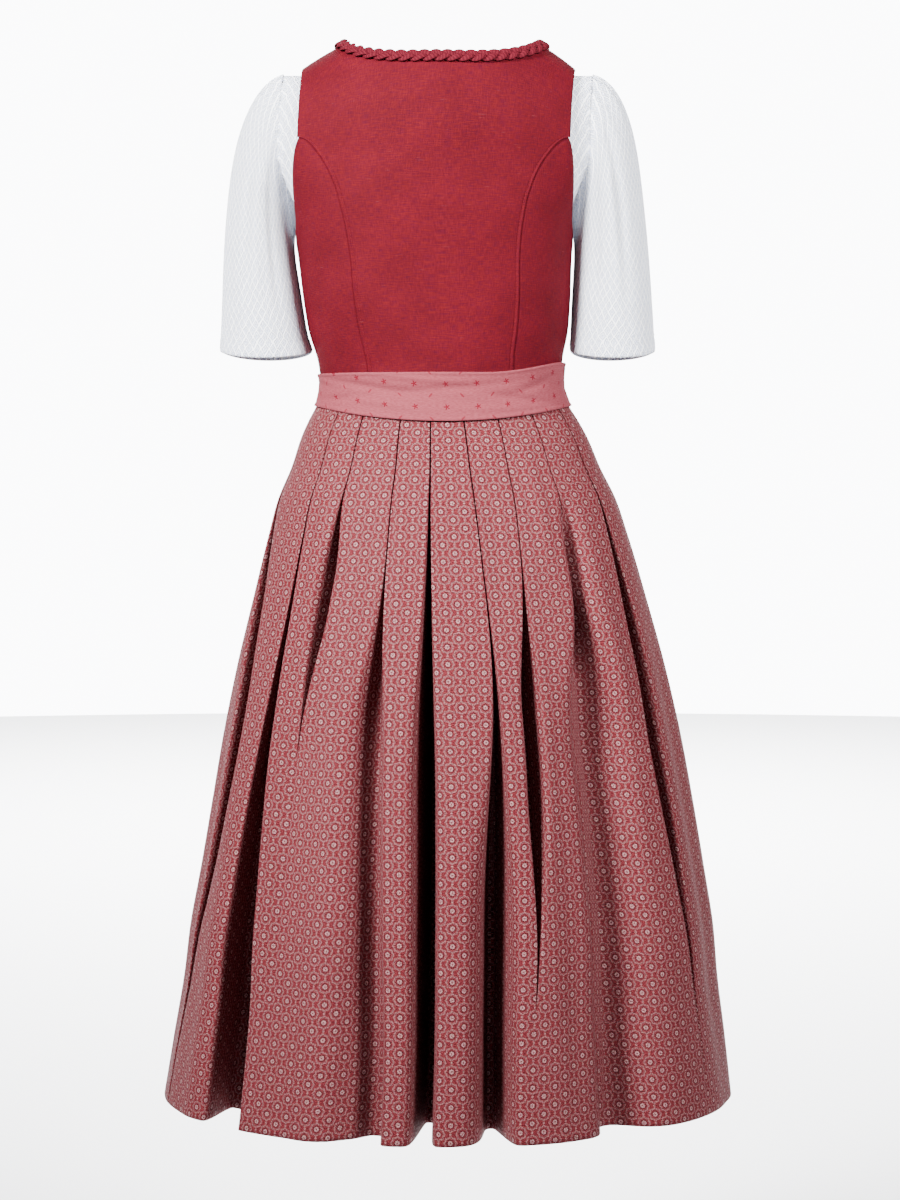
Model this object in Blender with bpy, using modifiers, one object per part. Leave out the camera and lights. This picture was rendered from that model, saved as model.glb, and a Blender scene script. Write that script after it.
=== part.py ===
# A dirndl set, filled out as if worn: a sleeveless bodice sewn to a pleated skirt,
# a cropped blouse with half sleeves under it, and an apron tied round the waist.
# Metres, +Z up. The front faces -Y and the wearer's left is +X. The origin lies
# midway between the shoulders, at the height where the straps carry the weight.

import math
from collections import namedtuple

import bmesh
import bpy
import numpy as np

# Cloth and seams
SEAM_GAP = 0.0003
LINEN_THICK = 0.0018
BLOUSE_THICK = 0.0010
SKIRT_THICK = 0.0014
APRON_THICK = 0.0012
BAND_THICK = 0.0015
TIE_THICK = 0.0012

# Heights that the pieces share
WAIST_Z = -0.352
HEM_Z = -1.115
APRON_HEM_Z = -1.015
BLOUSE_HEM_Z = -0.262

# The body form from the waist to the chest, where the arch over the shoulder begins
Section = namedtuple("Section", "height half_width back_depth front_depth")
TORSO = (
    Section(-0.352, 0.1290, 0.0985, 0.1020),
    Section(-0.323, 0.1315, 0.0990, 0.1045),
    Section(-0.295, 0.1385, 0.1000, 0.1120),
    Section(-0.264, 0.1425, 0.1015, 0.1190),
    Section(-0.219, 0.1460, 0.1035, 0.1250),
    Section(-0.187, 0.1490, 0.1050, 0.1260),
    Section(-0.153, 0.1520, 0.1060, 0.1220),
    Section(-0.122, 0.1515, 0.1060, 0.1165),
    Section(-0.100, 0.1500, 0.1055, 0.1150),
)
WAIST_POWER, CHEST_POWER, CHEST_Z = 2.0, 2.4, -0.240
ARCH_Z = -0.100
ARCH_LENGTH = 0.170
SHOULDER = ARCH_Z + ARCH_LENGTH
RIDGE_TOP_Z = 0.040
RIDGE_FALL = 2.55
RIDGE_BEND_X = 0.146
YOKE_HALF_WIDTH = 0.168
YOKE_EDGE_DEPTH = 0.046
YOKE_START_Z = -0.180
BUST_ANGLE, BUST_Z, BUST_RISE = 36.0, -0.170, 0.010
BUST_WIDE, BUST_HIGH = 20.0, 0.048

# How far the filled garment leans to the wearer's left at each height
Lean = namedtuple("Lean", "height across")
LEAN = (
    Lean(-1.120, -0.0045),
    Lean(-1.000, -0.0075),
    Lean(-0.860, -0.0098),
    Lean(-0.660, -0.0085),
    Lean(-0.510, -0.0052),
    Lean(-0.372, 0.0005),
    Lean(-0.290, 0.0055),
    Lean(-0.020, 0.0055),
    Lean(0.020, 0.0008),
    Lean(0.060, 0.0008),
)

# Bodice pattern, in degrees round the form and metres of height
ARM_ANGLE, ARM_TOP_ANGLE = 58.7, 60.5
ARM_BOTTOM_Z, ARM_JOIN_Z = -0.205, -0.090
PRINCESS_BACK_ANGLE, PRINCESS_FRONT_ANGLE = 36.6, 33.0
PRINCESS_BEND, PRINCESS_RISE, PRINCESS_DIP = 3.0, 1.5, 4.8
NECK_ANGLE = 36.5
BACK_NECK_CLIMB = ARCH_Z + 0.082
FRONT_NECK_Z = -0.128
CLOSURE_ANGLE = 6.5
NECK_SQUARENESS = 0.8
BODICE_RADIUS = 0.12
ARM_SHARE = 0.4
BACK_STRAP_SHARE, FRONT_STRAP_SHARE, BLOUSE_STRAP_SHARE = 0.16, 0.30, 0.14

# Blouse pattern
BLOUSE_INSET = 0.0066
BLOUSE_ARM_ANGLE = 79.0
BLOUSE_ARM_BOTTOM_Z = -0.178
BLOUSE_NECK_ANGLE = 42.0
BLOUSE_BACK_NECK_CLIMB = BACK_NECK_CLIMB - 0.020
BLOUSE_FRONT_NECK_Z = -0.106

# Sleeve
CUFF_X, CUFF_HALF_DEPTH = 0.1860, 0.0525
CUFF_Z, CUFF_SAG = -0.313, 0.010
Cut = namedtuple("Cut", "cuff_half_width reach flare")
SLEEVES = {1: Cut(0.0490, 0.175, 0.035), -1: Cut(0.0450, 0.200, 0.005)}

# Trim and fastening
BRAID_WIDTH, BRAID_PITCH, BRAID_LIFT = 0.014, 0.012, 0.0015
BRAID_CROWN, BRAID_DIP, BRAID_GROOVE = 0.0032, 0.0018, 0.0016
BRAID_SKEW, BRAID_TWIST = 0.0030, 0.0006
BINDING_WIDTH, BINDING_LIFT, BINDING_HIGH = 0.007, 0.0008, 0.0010
BUTTON_COUNT, BUTTON_RADIUS, BUTTON_HIGH, BUTTON_EDGE = 6, 0.0060, 0.0030, 0.0009
BUTTON_TOP_Z, BUTTON_BOTTOM_Z = -0.152, -0.314

# Skirt: the outline that its pleat faces lie on
SKIRT = (
    Section(-0.352, 0.1290, 0.0965, 0.1000),
    Section(-0.373, 0.1355, 0.1000, 0.1040),
    Section(-0.388, 0.1442, 0.1036, 0.1080),
    Section(-0.403, 0.1520, 0.1100, 0.1150),
    Section(-0.440, 0.1665, 0.1290, 0.1310),
    Section(-0.471, 0.1810, 0.1430, 0.1430),
    Section(-0.510, 0.1930, 0.1570, 0.1550),
    Section(-0.585, 0.2135, 0.1800, 0.1750),
    Section(-0.650, 0.2305, 0.1980, 0.1900),
    Section(-0.720, 0.2460, 0.2150, 0.2050),
    Section(-0.800, 0.2605, 0.2310, 0.2190),
    Section(-0.870, 0.2725, 0.2430, 0.2300),
    Section(-0.930, 0.2830, 0.2520, 0.2380),
    Section(-0.990, 0.2895, 0.2590, 0.2450),
    Section(-1.050, 0.2985, 0.2660, 0.2510),
    Section(-1.115, 0.3075, 0.2720, 0.2560),
)
SKIRT_ROWS = (-0.3523, -0.373, -0.390, -0.410, -0.445, -0.495, -0.560,
              -0.640, -0.730, -0.825, -0.920, -1.020, -1.115)
FRONT_ROWS = (-0.3523, -0.373, -0.392, -0.420, -0.480, -0.560, -0.660,
              -0.780, -0.900, -1.010, -1.115)
SLIT_DEPTH, SLIT_WIDTH = 0.0050, 0.0006
SOFT_POWER, SHARP_POWER, SHARP_WIDTH = 2.2, 4.0, 0.015

# Pleats: angle at the waist, halfway and the hem, in degrees towards the wearer's
# left; depth and half-widths of the opened valley on its left and right; and where
# it opens, is full, starts to shut and has shut, as parts of the skirt's length.
Pleat = namedtuple("Pleat", "waist middle hem depth left right opens full shuts gone")
BACK_PLEATS = (
    Pleat(84.0, 67.0, 76.0, 0.018, 0.0140, 0.0140, 0.05, 0.45, 0.55, 1.10),
    Pleat(52.3, 50.4, 45.5, 0.100, 0.0620, 0.0050, 0.05, 1.00, 2.00, 3.00),
    Pleat(35.7, 39.3, 39.0, 0.034, 0.0060, 0.0050, 0.12, 0.30, 0.36, 0.58),
    Pleat(18.2, 19.8, 15.2, 0.056, 0.0230, 0.0150, 0.22, 1.00, 2.00, 3.00),
    Pleat(5.5, 6.8, 5.2, 0.078, 0.0080, 0.0080, 0.05, 0.62, 2.00, 3.00),
    Pleat(-8.3, -11.0, -10.0, 0.076, 0.0190, 0.0220, 0.24, 1.00, 2.00, 3.00),
    Pleat(-23.2, -20.4, -17.5, 0.036, 0.0060, 0.0070, 0.20, 0.45, 0.55, 0.80),
    Pleat(-41.0, -39.8, -38.0, 0.043, 0.0300, 0.0380, 0.12, 0.50, 2.00, 3.00),
    Pleat(-63.0, -59.6, -63.0, 0.034, 0.0080, 0.0120, 0.08, 0.38, 0.50, 1.30),
)
FRONT_PLEATS = (
    Pleat(75.0, 72.0, 70.0, 0.046, 0.0180, 0.0140, 0.08, 0.90, 2.00, 3.00),
    Pleat(45.0, 46.0, 44.0, 0.038, 0.0160, 0.0180, 0.10, 0.90, 2.00, 3.00),
    Pleat(16.0, 16.0, 17.0, 0.034, 0.0180, 0.0180, 0.12, 1.00, 2.00, 3.00),
    Pleat(-14.0, -15.0, -15.0, 0.038, 0.0200, 0.0160, 0.12, 1.00, 2.00, 3.00),
    Pleat(-45.0, -44.0, -46.0, 0.036, 0.0160, 0.0200, 0.10, 0.90, 2.00, 3.00),
    Pleat(-75.0, -73.0, -70.0, 0.048, 0.0140, 0.0200, 0.08, 0.90, 2.00, 3.00),
)
BACK_STEPS = (-2.2, -1.35, -1.0, -0.65, 0.0, 0.65, 1.0, 1.35, 2.2)
FRONT_STEPS = (-2.0, -1.15, -0.75, 0.0, 0.75, 1.15, 2.0)

# Apron band and tie
BAND = (
    Section(-0.396, 0.1512, 0.1099, 0.1148),
    Section(-0.373, 0.1385, 0.1034, 0.1075),
    Section(-0.352, 0.1324, 0.1017, 0.1057),
    Section(-0.325, 0.1350, 0.1023, 0.1084),
)
BAND_TOP_Z, BAND_LIFT = -0.339, 0.012
BAND_LOW_Z, BAND_SAG = -0.373, 0.0170
APRON_ANGLE, APRON_PLEATS = 60.0, 10
APRON_CLEAR, APRON_CLEAR_HEM = 0.0042, 0.0100
APRON_WAVE_TOP, APRON_WAVE_HEM = 0.0016, 0.0090
BOW_ANGLE, BOW_Z = 24.0, -0.364
KNOT_SIZE, KNOT_SEAT, KNOT_EDGE = (0.026, 0.016, 0.034), 0.0030, 0.0065
LOOP_REACH, LOOP_WIDE, LOOP_DROOP, LOOP_NARROW = 0.074, 0.046, 0.010, 0.024
LOOP_PRESSED, LOOP_FULL, BAND_RADIUS = 0.0016, 0.0062, 0.1335
TAIL_WIDE, TAIL_LENGTH, TAIL_CLEAR, TAIL_RIPPLE = 0.044, 0.300, 0.0040, 0.0012
TAIL_START, TAIL_SLANT, TAIL_NARROW = 0.0096, 0.014, 0.42
TAIL_APART, TAIL_SPREAD = 0.0008, 0.010

# Finishes: linear colour and roughness
FINISHES = {
    "red_linen": ((0.38, 0.045, 0.055), 0.85),
    "white_cotton": ((0.80, 0.81, 0.86), 0.80),
    "rose_jacquard": ((0.40, 0.14, 0.15), 0.55),
    "pink_apron": ((0.62, 0.26, 0.28), 0.70),
    "horn_button": ((0.30, 0.06, 0.06), 0.40),
}


def clear_scene():
    for obj in list(bpy.data.objects):
        bpy.data.objects.remove(obj)


def finish_object(obj, finish):
    """Gives an object its own material and smooth shading, and files it with the dirndl."""
    colour, roughness = FINISHES[finish]
    made = bpy.data.materials.new(obj.name)
    made.use_nodes = True
    shader = made.node_tree.nodes["Principled BSDF"]
    shader.inputs["Base Color"].default_value = (*colour, 1.0)
    shader.inputs["Roughness"].default_value = roughness
    shader.inputs["Metallic"].default_value = 0.0
    obj.data.materials.clear()
    obj.data.materials.append(made)
    obj.data.shade_smooth()
    obj.data.set_sharp_from_angle(angle=math.radians(50))
    for old in list(obj.users_collection):
        old.objects.unlink(obj)
    bpy.data.collections["dirndl"].objects.link(obj)
    return obj


def object_from(name, build, finish):
    bmesh.ops.recalc_face_normals(build, faces=build.faces)
    mesh = bpy.data.meshes.new(name)
    build.to_mesh(mesh)
    build.free()
    return finish_object(bpy.data.objects.new(name, mesh), finish)


def grid_of(build, points):
    """A grid of faces whose corners are points[row][column]."""
    rows, columns = points.shape[:2]
    bmesh.ops.create_grid(build, x_segments=columns - 1, y_segments=rows - 1, size=0.5)
    build.verts.ensure_lookup_table()
    for vert, place in zip(build.verts, points.reshape(-1, 3)):
        vert.co = place


def wall(name, outer, inner, finish):
    """Cloth between two skins: the outer grid is extruded, and the copy moved to the inner."""
    build = bmesh.new()
    grid_of(build, outer)
    number = build.verts.layers.int.new("number")
    for index, vert in enumerate(build.verts):
        vert[number] = index
    made = bmesh.ops.extrude_face_region(build, geom=build.faces[:], use_keep_orig=True)
    inner = inner.reshape(-1, 3)
    for item in made["geom"]:
        if isinstance(item, bmesh.types.BMVert):
            item.co = inner[item[number]]
    return object_from(name, build, finish)


def sheet(name, points, thickness, finish):
    """A free strip or tube of cloth: an open grid with Solidify, grown evenly both ways."""
    build = bmesh.new()
    grid_of(build, points)
    bmesh.ops.remove_doubles(build, verts=build.verts, dist=1e-6)
    obj = object_from(name, build, finish)
    solid = obj.modifiers.new("thickness", "SOLIDIFY")
    solid.thickness = thickness
    solid.offset = 0.0
    return obj


def loft(name, rings, finish):
    """A closed tube through rings of points, capped at both ends."""
    build = bmesh.new()
    grid_of(build, np.concatenate([rings, rings[:, :1]], axis=1))
    bmesh.ops.remove_doubles(build, verts=build.verts, dist=1e-6)
    bmesh.ops.holes_fill(build, edges=[edge for edge in build.edges if edge.is_boundary])
    return object_from(name, build, finish)


def ease(low, high, value):
    """0 up to low, 1 from high, and a smooth step between."""
    part = np.clip((value - low) / (high - low), 0.0, 1.0)
    return part * part * (3 - 2 * part)


def mix(first, second, part):
    return first + (second - first) * part


def read(table, column, height):
    """A column of a table, read at any height from a smooth curve through its rows."""
    rows = sorted(table)
    known = np.array([row.height for row in rows])
    value = np.array([getattr(row, column) for row in rows])
    slope = np.gradient(value, known)
    i = np.clip(np.searchsorted(known, height) - 1, 0, len(rows) - 2)
    step = known[i + 1] - known[i]
    t = np.clip((height - known[i]) / step, 0.0, 1.0)
    ends = (1 + 2 * t) * (1 - t) ** 2 * value[i] + t**2 * (3 - 2 * t) * value[i + 1]
    return ends + step * (t * (1 - t) ** 2 * slope[i] - t**2 * (1 - t) * slope[i + 1])


def placed(x, y, z):
    """Joins coordinates into points and adds the garment's lean."""
    x, y, z = np.broadcast_arrays(x, y, z)
    return np.stack([x + read(LEAN, "across", z), y, z], axis=-1)


def ridge_z(x):
    """Height of the shoulder line: it falls away from the neck and is level past the strap."""
    return RIDGE_TOP_Z - RIDGE_FALL * np.minimum(np.abs(x), RIDGE_BEND_X) ** 2


def on_torso(angle, climb, inset=0.0):
    """Points of the body form. Climb is the height up the back as far as the chest,
    then the way over the shoulder to SHOULDER, and from there down the front."""
    angle, climb = np.broadcast_arrays(np.asarray(angle, float), np.asarray(climb, float))
    front = climb > SHOULDER
    rise = np.where(front, 2 * SHOULDER - climb, climb)
    base = np.minimum(rise, ARCH_Z)
    sine, cosine = np.sin(np.radians(angle)), np.abs(np.cos(np.radians(angle)))
    bust = BUST_RISE * np.exp(
        -(((np.abs(angle) - BUST_ANGLE) / BUST_WIDE) ** 2) - ((base - BUST_Z) / BUST_HIGH) ** 2
    )
    depth = np.where(
        front, read(TORSO, "front_depth", base) + bust, read(TORSO, "back_depth", base)
    )
    depth = depth - inset
    half = read(TORSO, "half_width", base) - inset
    power = 2 / mix(WAIST_POWER, CHEST_POWER, ease(WAIST_Z, CHEST_Z, base))
    edge = YOKE_EDGE_DEPTH - inset
    yoke = ease(YOKE_START_Z, ARCH_Z, base)
    x = mix(half * np.sign(sine) * np.abs(sine) ** power, YOKE_HALF_WIDTH * sine, yoke)
    y = mix(depth * cosine**power, edge + (depth - edge) * cosine**2, yoke)
    over = np.maximum(rise - ARCH_Z, 0.0) / ARCH_LENGTH * (math.pi / 2)
    z = base + (ridge_z(x) - inset - ARCH_Z) * np.sin(over)
    y = y * np.cos(over) * np.where(front, -1.0, 1.0)
    return placed(x, y, z)


def up_back(height):
    """The climb of a point at this height on the back."""
    return height


def down_front(height):
    """The climb of a point at this height on the front."""
    return 2 * SHOULDER - height


def patch(left, right, bottom, top, across, up):
    """A pattern piece drawn flat in angle and climb, filled in between its four edges."""
    u = np.asarray(across)[None, :, None]
    v = np.asarray(up)[:, None, None]
    sides = (1 - u) * left(v[..., 0]) + u * right(v[..., 0])
    ends = (1 - v) * bottom(u[..., 0]) + v * top(u[..., 0])
    corner = [edge(np.array([[part]])) for edge in (bottom, top) for part in (0.0, 1.0)]
    low = (1 - u) * corner[0] + u * corner[1]
    high = (1 - u) * corner[2] + u * corner[3]
    return sides + ends - (1 - v) * low - v * high


def pair(angle, climb):
    angle, climb = np.broadcast_arrays(angle, climb)
    return np.stack([angle, climb], axis=-1)


def even(count):
    return np.linspace(0.0, 1.0, count + 1)


def joined(first, second, share):
    """One edge made of two, the first taking this share of the way."""
    def edge(part):
        early = first(np.clip(part / share, 0.0, 1.0))
        late = second(np.clip((part - share) / (1 - share), 0.0, 1.0))
        return np.where((part <= share)[..., None], early, late)
    return edge


def mirrored(flat, side):
    """The flat piece for the wearer's left as drawn, or turned over for the right."""
    return flat * np.array([side, 1.0])


def princess(part, waist_angle):
    """The seam from the waist up into the armhole, as angle and height."""
    angle = mix(waist_angle, ARM_ANGLE, part**PRINCESS_BEND)
    angle = angle - PRINCESS_DIP * np.sin(math.pi * part)
    low = WAIST_Z + SEAM_GAP / 2
    return angle, low + (ARM_JOIN_Z - low) * (1 - (1 - part) ** PRINCESS_RISE)


def armhole_low(part):
    """The lower armhole, from the side seam to the princess seam."""
    angle = ARM_ANGLE + (90.0 - ARM_ANGLE) * (1 - part) ** 1.2
    return angle, ARM_BOTTOM_Z + (ARM_JOIN_Z - ARM_BOTTOM_Z) * part**1.43


def armhole_high(part):
    """The upper armhole, from the princess seam to the shoulder."""
    top = SHOULDER - SEAM_GAP / 2
    return mix(ARM_ANGLE, ARM_TOP_ANGLE, part**2), mix(ARM_JOIN_Z, top, part)


def gap_angle():
    """Half a seam gap, in degrees round the bodice."""
    return math.degrees(SEAM_GAP / 2 / BODICE_RADIUS)


def neckline(turn, angle, low):
    """A neckline from its low point, turn 0, to the shoulder, turn 1."""
    way = turn * math.pi / 2
    top = SHOULDER - SEAM_GAP / 2
    sine, cosine = np.sin(way) ** NECK_SQUARENESS, np.abs(np.cos(way)) ** NECK_SQUARENESS
    return angle * sine, top - (top - low) * cosine


def neck_turn(angle, neck_angle):
    """The turn at which a neckline passes this angle."""
    return math.asin((angle / neck_angle) ** (1 / NECK_SQUARENESS)) / (math.pi / 2)


def cloth_panel(name, flat, thick, finish, inset=0.0):
    angle, climb = flat[..., 0], flat[..., 1]
    outer = on_torso(angle, climb, inset)
    inner = on_torso(angle, climb, inset + thick)
    return wall(name, outer, inner, finish)


def centre_back():
    """The middle of the back in one piece, with both shoulder straps."""
    seam = gap_angle()
    strap = BACK_STRAP_SHARE

    def side(part, sign):
        low, high = princess(part, PRINCESS_BACK_ANGLE), armhole_high(part)
        return (
            pair(sign * (low[0] - seam), low[1]),
            pair(sign * high[0], high[1]),
        )

    def edge(sign):
        return joined(lambda p: side(p, sign)[0], lambda p: side(p, sign)[1], 1 - ARM_SHARE)

    def bottom(part):
        angle = PRINCESS_BACK_ANGLE - seam
        return pair(mix(-angle, angle, part), WAIST_Z + SEAM_GAP / 2)

    def top(part):
        middle = np.abs(2 * part - 1)
        neck = neckline(np.clip(middle / (1 - 2 * strap), 0, 1), NECK_ANGLE, BACK_NECK_CLIMB)
        on_strap = np.clip((middle - (1 - 2 * strap)) / (2 * strap), 0, 1)
        angle = np.where(on_strap > 0, mix(NECK_ANGLE, ARM_TOP_ANGLE, on_strap), neck[0])
        return pair(np.sign(2 * part - 1) * angle, neck[1])

    flat = patch(edge(-1), edge(1), bottom, top, even(16), even(15))
    return cloth_panel("bodice_back", flat, LINEN_THICK, "red_linen")


def side_panel(name, side, waist_angle, front):
    """A side-back or side-front piece, from the princess seam to the side seam."""
    seam = gap_angle()
    drawn = down_front if front else up_back

    def seam_edge(part):
        angle, height = princess(part, waist_angle)
        return pair(angle + seam, drawn(height))

    def side_edge(part):
        return pair(90.0 - seam, drawn(mix(WAIST_Z + SEAM_GAP / 2, ARM_BOTTOM_Z, part)))

    def waist(part):
        return pair(mix(waist_angle + seam, 90.0 - seam, part), drawn(WAIST_Z + SEAM_GAP / 2))

    def arm(part):
        angle, height = armhole_low(1 - part)
        return pair(mix(angle + seam, 90.0 - seam, part**4), drawn(height))

    flat = patch(seam_edge, side_edge, waist, arm, even(6), even(9))
    return cloth_panel(name, mirrored(flat, side), LINEN_THICK, "red_linen")


def front_panel(name, side):
    """A front, from the closure to the princess seam, with half the neckline. The
    right front reaches past the middle and laps the left."""
    seam = gap_angle()
    lap = side * CLOSURE_ANGLE
    strap = FRONT_STRAP_SHARE
    neck_start = side * neck_turn(abs(lap), NECK_ANGLE)

    def neck(turn):
        angle, climb = neckline(np.abs(turn), NECK_ANGLE, FRONT_NECK_Z)
        return np.sign(turn) * angle, down_front(climb)

    def closure(part):
        height = mix(WAIST_Z + SEAM_GAP / 2, FRONT_NECK_Z, part)
        end = neck(np.array(neck_start))[1] - down_front(FRONT_NECK_Z)
        return pair(lap + seam, down_front(height) + end * part)

    def outer(part):
        low, high = princess(part, PRINCESS_FRONT_ANGLE), armhole_high(part)
        return pair(low[0] - seam, down_front(low[1])), pair(high[0], down_front(high[1]))

    def waist(part):
        angle = mix(lap + seam, PRINCESS_FRONT_ANGLE - seam, part)
        return pair(angle, down_front(WAIST_Z + SEAM_GAP / 2))

    def top(part):
        turn = mix(neck_start, 1.0, np.clip(part / (1 - strap), 0, 1))
        on_strap = np.clip((part - (1 - strap)) / strap, 0, 1)
        angle, climb = neck(turn)
        angle = np.where(part == 0, lap + seam, angle)
        return pair(np.where(on_strap > 0, mix(NECK_ANGLE, ARM_TOP_ANGLE, on_strap), angle), climb)

    edge = joined(lambda p: outer(p)[0], lambda p: outer(p)[1], 1 - ARM_SHARE)
    flat = patch(closure, edge, waist, top, even(9), even(15))
    return cloth_panel(name, mirrored(flat, side), LINEN_THICK, "red_linen")


def blouse_body(name, front):
    """The cropped blouse, back or front, under the bodice."""
    drawn = down_front if front else up_back
    low_neck = BLOUSE_FRONT_NECK_Z if front else BLOUSE_BACK_NECK_CLIMB
    strap = BLOUSE_STRAP_SHARE

    def low_side(part, sign):
        return pair(sign * (90.0 - gap_angle()),
                    drawn(mix(BLOUSE_HEM_Z, BLOUSE_ARM_BOTTOM_Z, part)))

    def arm_side(part, sign):
        angle, climb = blouse_armhole(part)
        return pair(sign * angle, drawn(climb))

    def edge(sign):
        return joined(lambda p: low_side(p, sign), lambda p: arm_side(p, sign), 0.25)

    def bottom(part):
        return pair(mix(-1, 1, part) * (90.0 - gap_angle()), drawn(BLOUSE_HEM_Z))

    def top(part):
        middle = np.abs(2 * part - 1)
        turn = np.clip(middle / (1 - 2 * strap), 0, 1)
        angle, climb = neckline(turn, BLOUSE_NECK_ANGLE, low_neck)
        on_strap = np.clip((middle - (1 - 2 * strap)) / (2 * strap), 0, 1)
        angle = np.where(on_strap > 0, mix(BLOUSE_NECK_ANGLE, BLOUSE_ARM_ANGLE, on_strap), angle)
        return pair(np.sign(2 * part - 1) * angle, drawn(climb))

    flat = patch(edge(-1), edge(1), bottom, top, even(12), even(8))
    return cloth_panel(name, flat, BLOUSE_THICK, "white_cotton", BLOUSE_INSET)


def blouse_armhole(part):
    """The blouse's armhole, from the underarm to the shoulder."""
    angle = BLOUSE_ARM_ANGLE + (90.0 - gap_angle() - BLOUSE_ARM_ANGLE) * (1 - part) ** 3
    return angle, mix(BLOUSE_ARM_BOTTOM_Z, SHOULDER - SEAM_GAP / 2, part**1.2)


def sleeve(name, side):
    """A half sleeve, from the armhole seam out over the arm and down to its hem."""
    around, along = 18, 8
    cut = SLEEVES[side]
    turn = np.arange(around + 1) / around * 2 * math.pi
    part = 1 - np.abs(turn / math.pi - 1)
    angle, climb = blouse_armhole(part)
    back = turn <= math.pi
    climb = np.where(back, climb, down_front(climb))
    start = on_torso(angle, climb, BLOUSE_INSET + BLOUSE_THICK / 2)
    start[:, 0] -= read(LEAN, "across", start[:, 2])
    start[:, 0] += SEAM_GAP + BLOUSE_THICK
    ring = math.pi - turn
    end = np.stack([
        CUFF_X + cut.cuff_half_width * np.cos(ring),
        CUFF_HALF_DEPTH * np.sin(ring),
        CUFF_Z - CUFF_SAG * np.abs(np.sin(ring)),
    ], axis=-1)
    outward = mix(0.05, cut.reach, ((1 + np.cos(ring)) / 2) ** 2)
    leave = np.stack([
        outward,
        0.05 * np.sin(ring),
        -0.035 - 0.015 * np.cos(ring) - 0.05 * np.sin(ring) ** 2,
    ], axis=-1)
    arrive = np.stack([cut.flare * np.cos(ring), 0 * ring, -0.2 - 0.1 * np.cos(ring)], axis=-1)
    t = even(along)[:, None, None]
    points = (
        (2 * t**3 - 3 * t**2 + 1) * start + (t**3 - 2 * t**2 + t) * leave
        + (3 * t**2 - 2 * t**3) * end + (t**3 - t**2) * arrive
    )
    points[:, -1] = points[:, 0]
    points = placed(side * points[..., 0], points[..., 1], points[..., 2])
    return sheet(name, points, BLOUSE_THICK, "white_cotton")


def frame_on_torso(angle, climb, inset):
    """Places and outward normals of points of the form, with its two slopes there."""
    nudge_angle, nudge_climb = 0.05, 0.0002
    here = on_torso(angle, climb, inset)
    by_angle = (
        on_torso(angle + nudge_angle, climb, inset) - on_torso(angle - nudge_angle, climb, inset)
    ) / (2 * nudge_angle)
    by_climb = (
        on_torso(angle, climb + nudge_climb, inset) - on_torso(angle, climb - nudge_climb, inset)
    ) / (2 * nudge_climb)
    normal = np.cross(by_climb, by_angle)
    return here, normal / np.linalg.norm(normal, axis=-1, keepdims=True), by_angle, by_climb


def neck_loop(angle, back_low, front_low, start, end, stations):
    """Evenly spaced points of a neckline, from the closure round the back and home."""
    front_start, front_end = (math.copysign(neck_turn(abs(a), angle), a) for a in (start, end))
    left = np.linspace(front_start, 1.0, 80)
    back = np.linspace(1.0, -1.0, 161)[1:-1]
    right = np.linspace(-1.0, front_end, 100)

    def point(turn, front):
        where = neckline(np.abs(turn), angle, front_low if front else back_low)
        climb = down_front(where[1]) if front else where[1]
        return np.stack([np.sign(turn) * where[0], climb], axis=-1)

    line = np.concatenate([point(left, True), point(back, False), point(right, True)])
    places = on_torso(line[:, 0], line[:, 1])
    way = np.concatenate([[0], np.cumsum(np.linalg.norm(np.diff(places, axis=0), axis=1))])
    at = np.linspace(0, way[-1], stations)
    return np.interp(at, way, line[:, 0]), np.interp(at, way, line[:, 1]), way[-1]


def along_neck(angle, climb, inset, across, lift, skew):
    """Points beside a line on the form: moved across the cloth away from the neck, along
    the line by skew, and off the cloth by lift."""
    here, normal, _, _ = frame_on_torso(angle, climb, inset)
    along = np.gradient(here, axis=0)
    along /= np.linalg.norm(along, axis=1, keepdims=True)
    away = np.cross(along, normal)
    target = here + away * across + along * skew
    moved = np.stack([angle, climb], axis=-1)
    for _ in range(3):
        now, _, by_angle, by_climb = frame_on_torso(moved[:, 0], moved[:, 1], inset)
        slope = np.stack([by_angle, by_climb], axis=-1)
        error = (target - now)[..., None]
        flat = np.swapaxes(slope, 1, 2)
        moved = moved + np.linalg.solve(flat @ slope, flat @ error)[..., 0]
    now, normal, _, _ = frame_on_torso(moved[:, 0], moved[:, 1], inset)
    return now + normal * lift


def neck_braid():
    """The plait round the neckline: two rows of strands that meet in a line of V shapes."""
    dense = neck_loop(NECK_ANGLE, BACK_NECK_CLIMB, FRONT_NECK_Z, CLOSURE_ANGLE + 0.4,
                      CLOSURE_ANGLE - 0.4, 3)
    count = 2 * round(dense[2] / BRAID_PITCH) + 1
    angle, climb, _ = neck_loop(NECK_ANGLE, BACK_NECK_CLIMB, FRONT_NECK_Z, CLOSURE_ANGLE + 0.4,
                                CLOSURE_ANGLE - 0.4, count)
    raised = (np.arange(count) % 2 == 0)[:, None]
    crown = np.where(raised, BRAID_CROWN, BRAID_DIP)
    groove = np.where(raised, BRAID_GROOVE, BRAID_CROWN - BRAID_TWIST)
    inner_end = np.ones(count)[:, None]
    inner_end[[0, -1]] = 0
    ring = []
    for across, high, skew in (
        (0.0, 0.0, 0.0), (0.22, crown, 1.0), (0.5, groove, 0.0), (0.78, crown, 1.0),
        (1.0, 0.0, 0.0),
    ):
        ring.append(along_neck(angle, climb, 0.0, across * BRAID_WIDTH, BRAID_LIFT + high,
                               skew * BRAID_SKEW * inner_end))
    return loft("neck_braid", np.stack(ring, axis=1), "red_linen")


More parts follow.
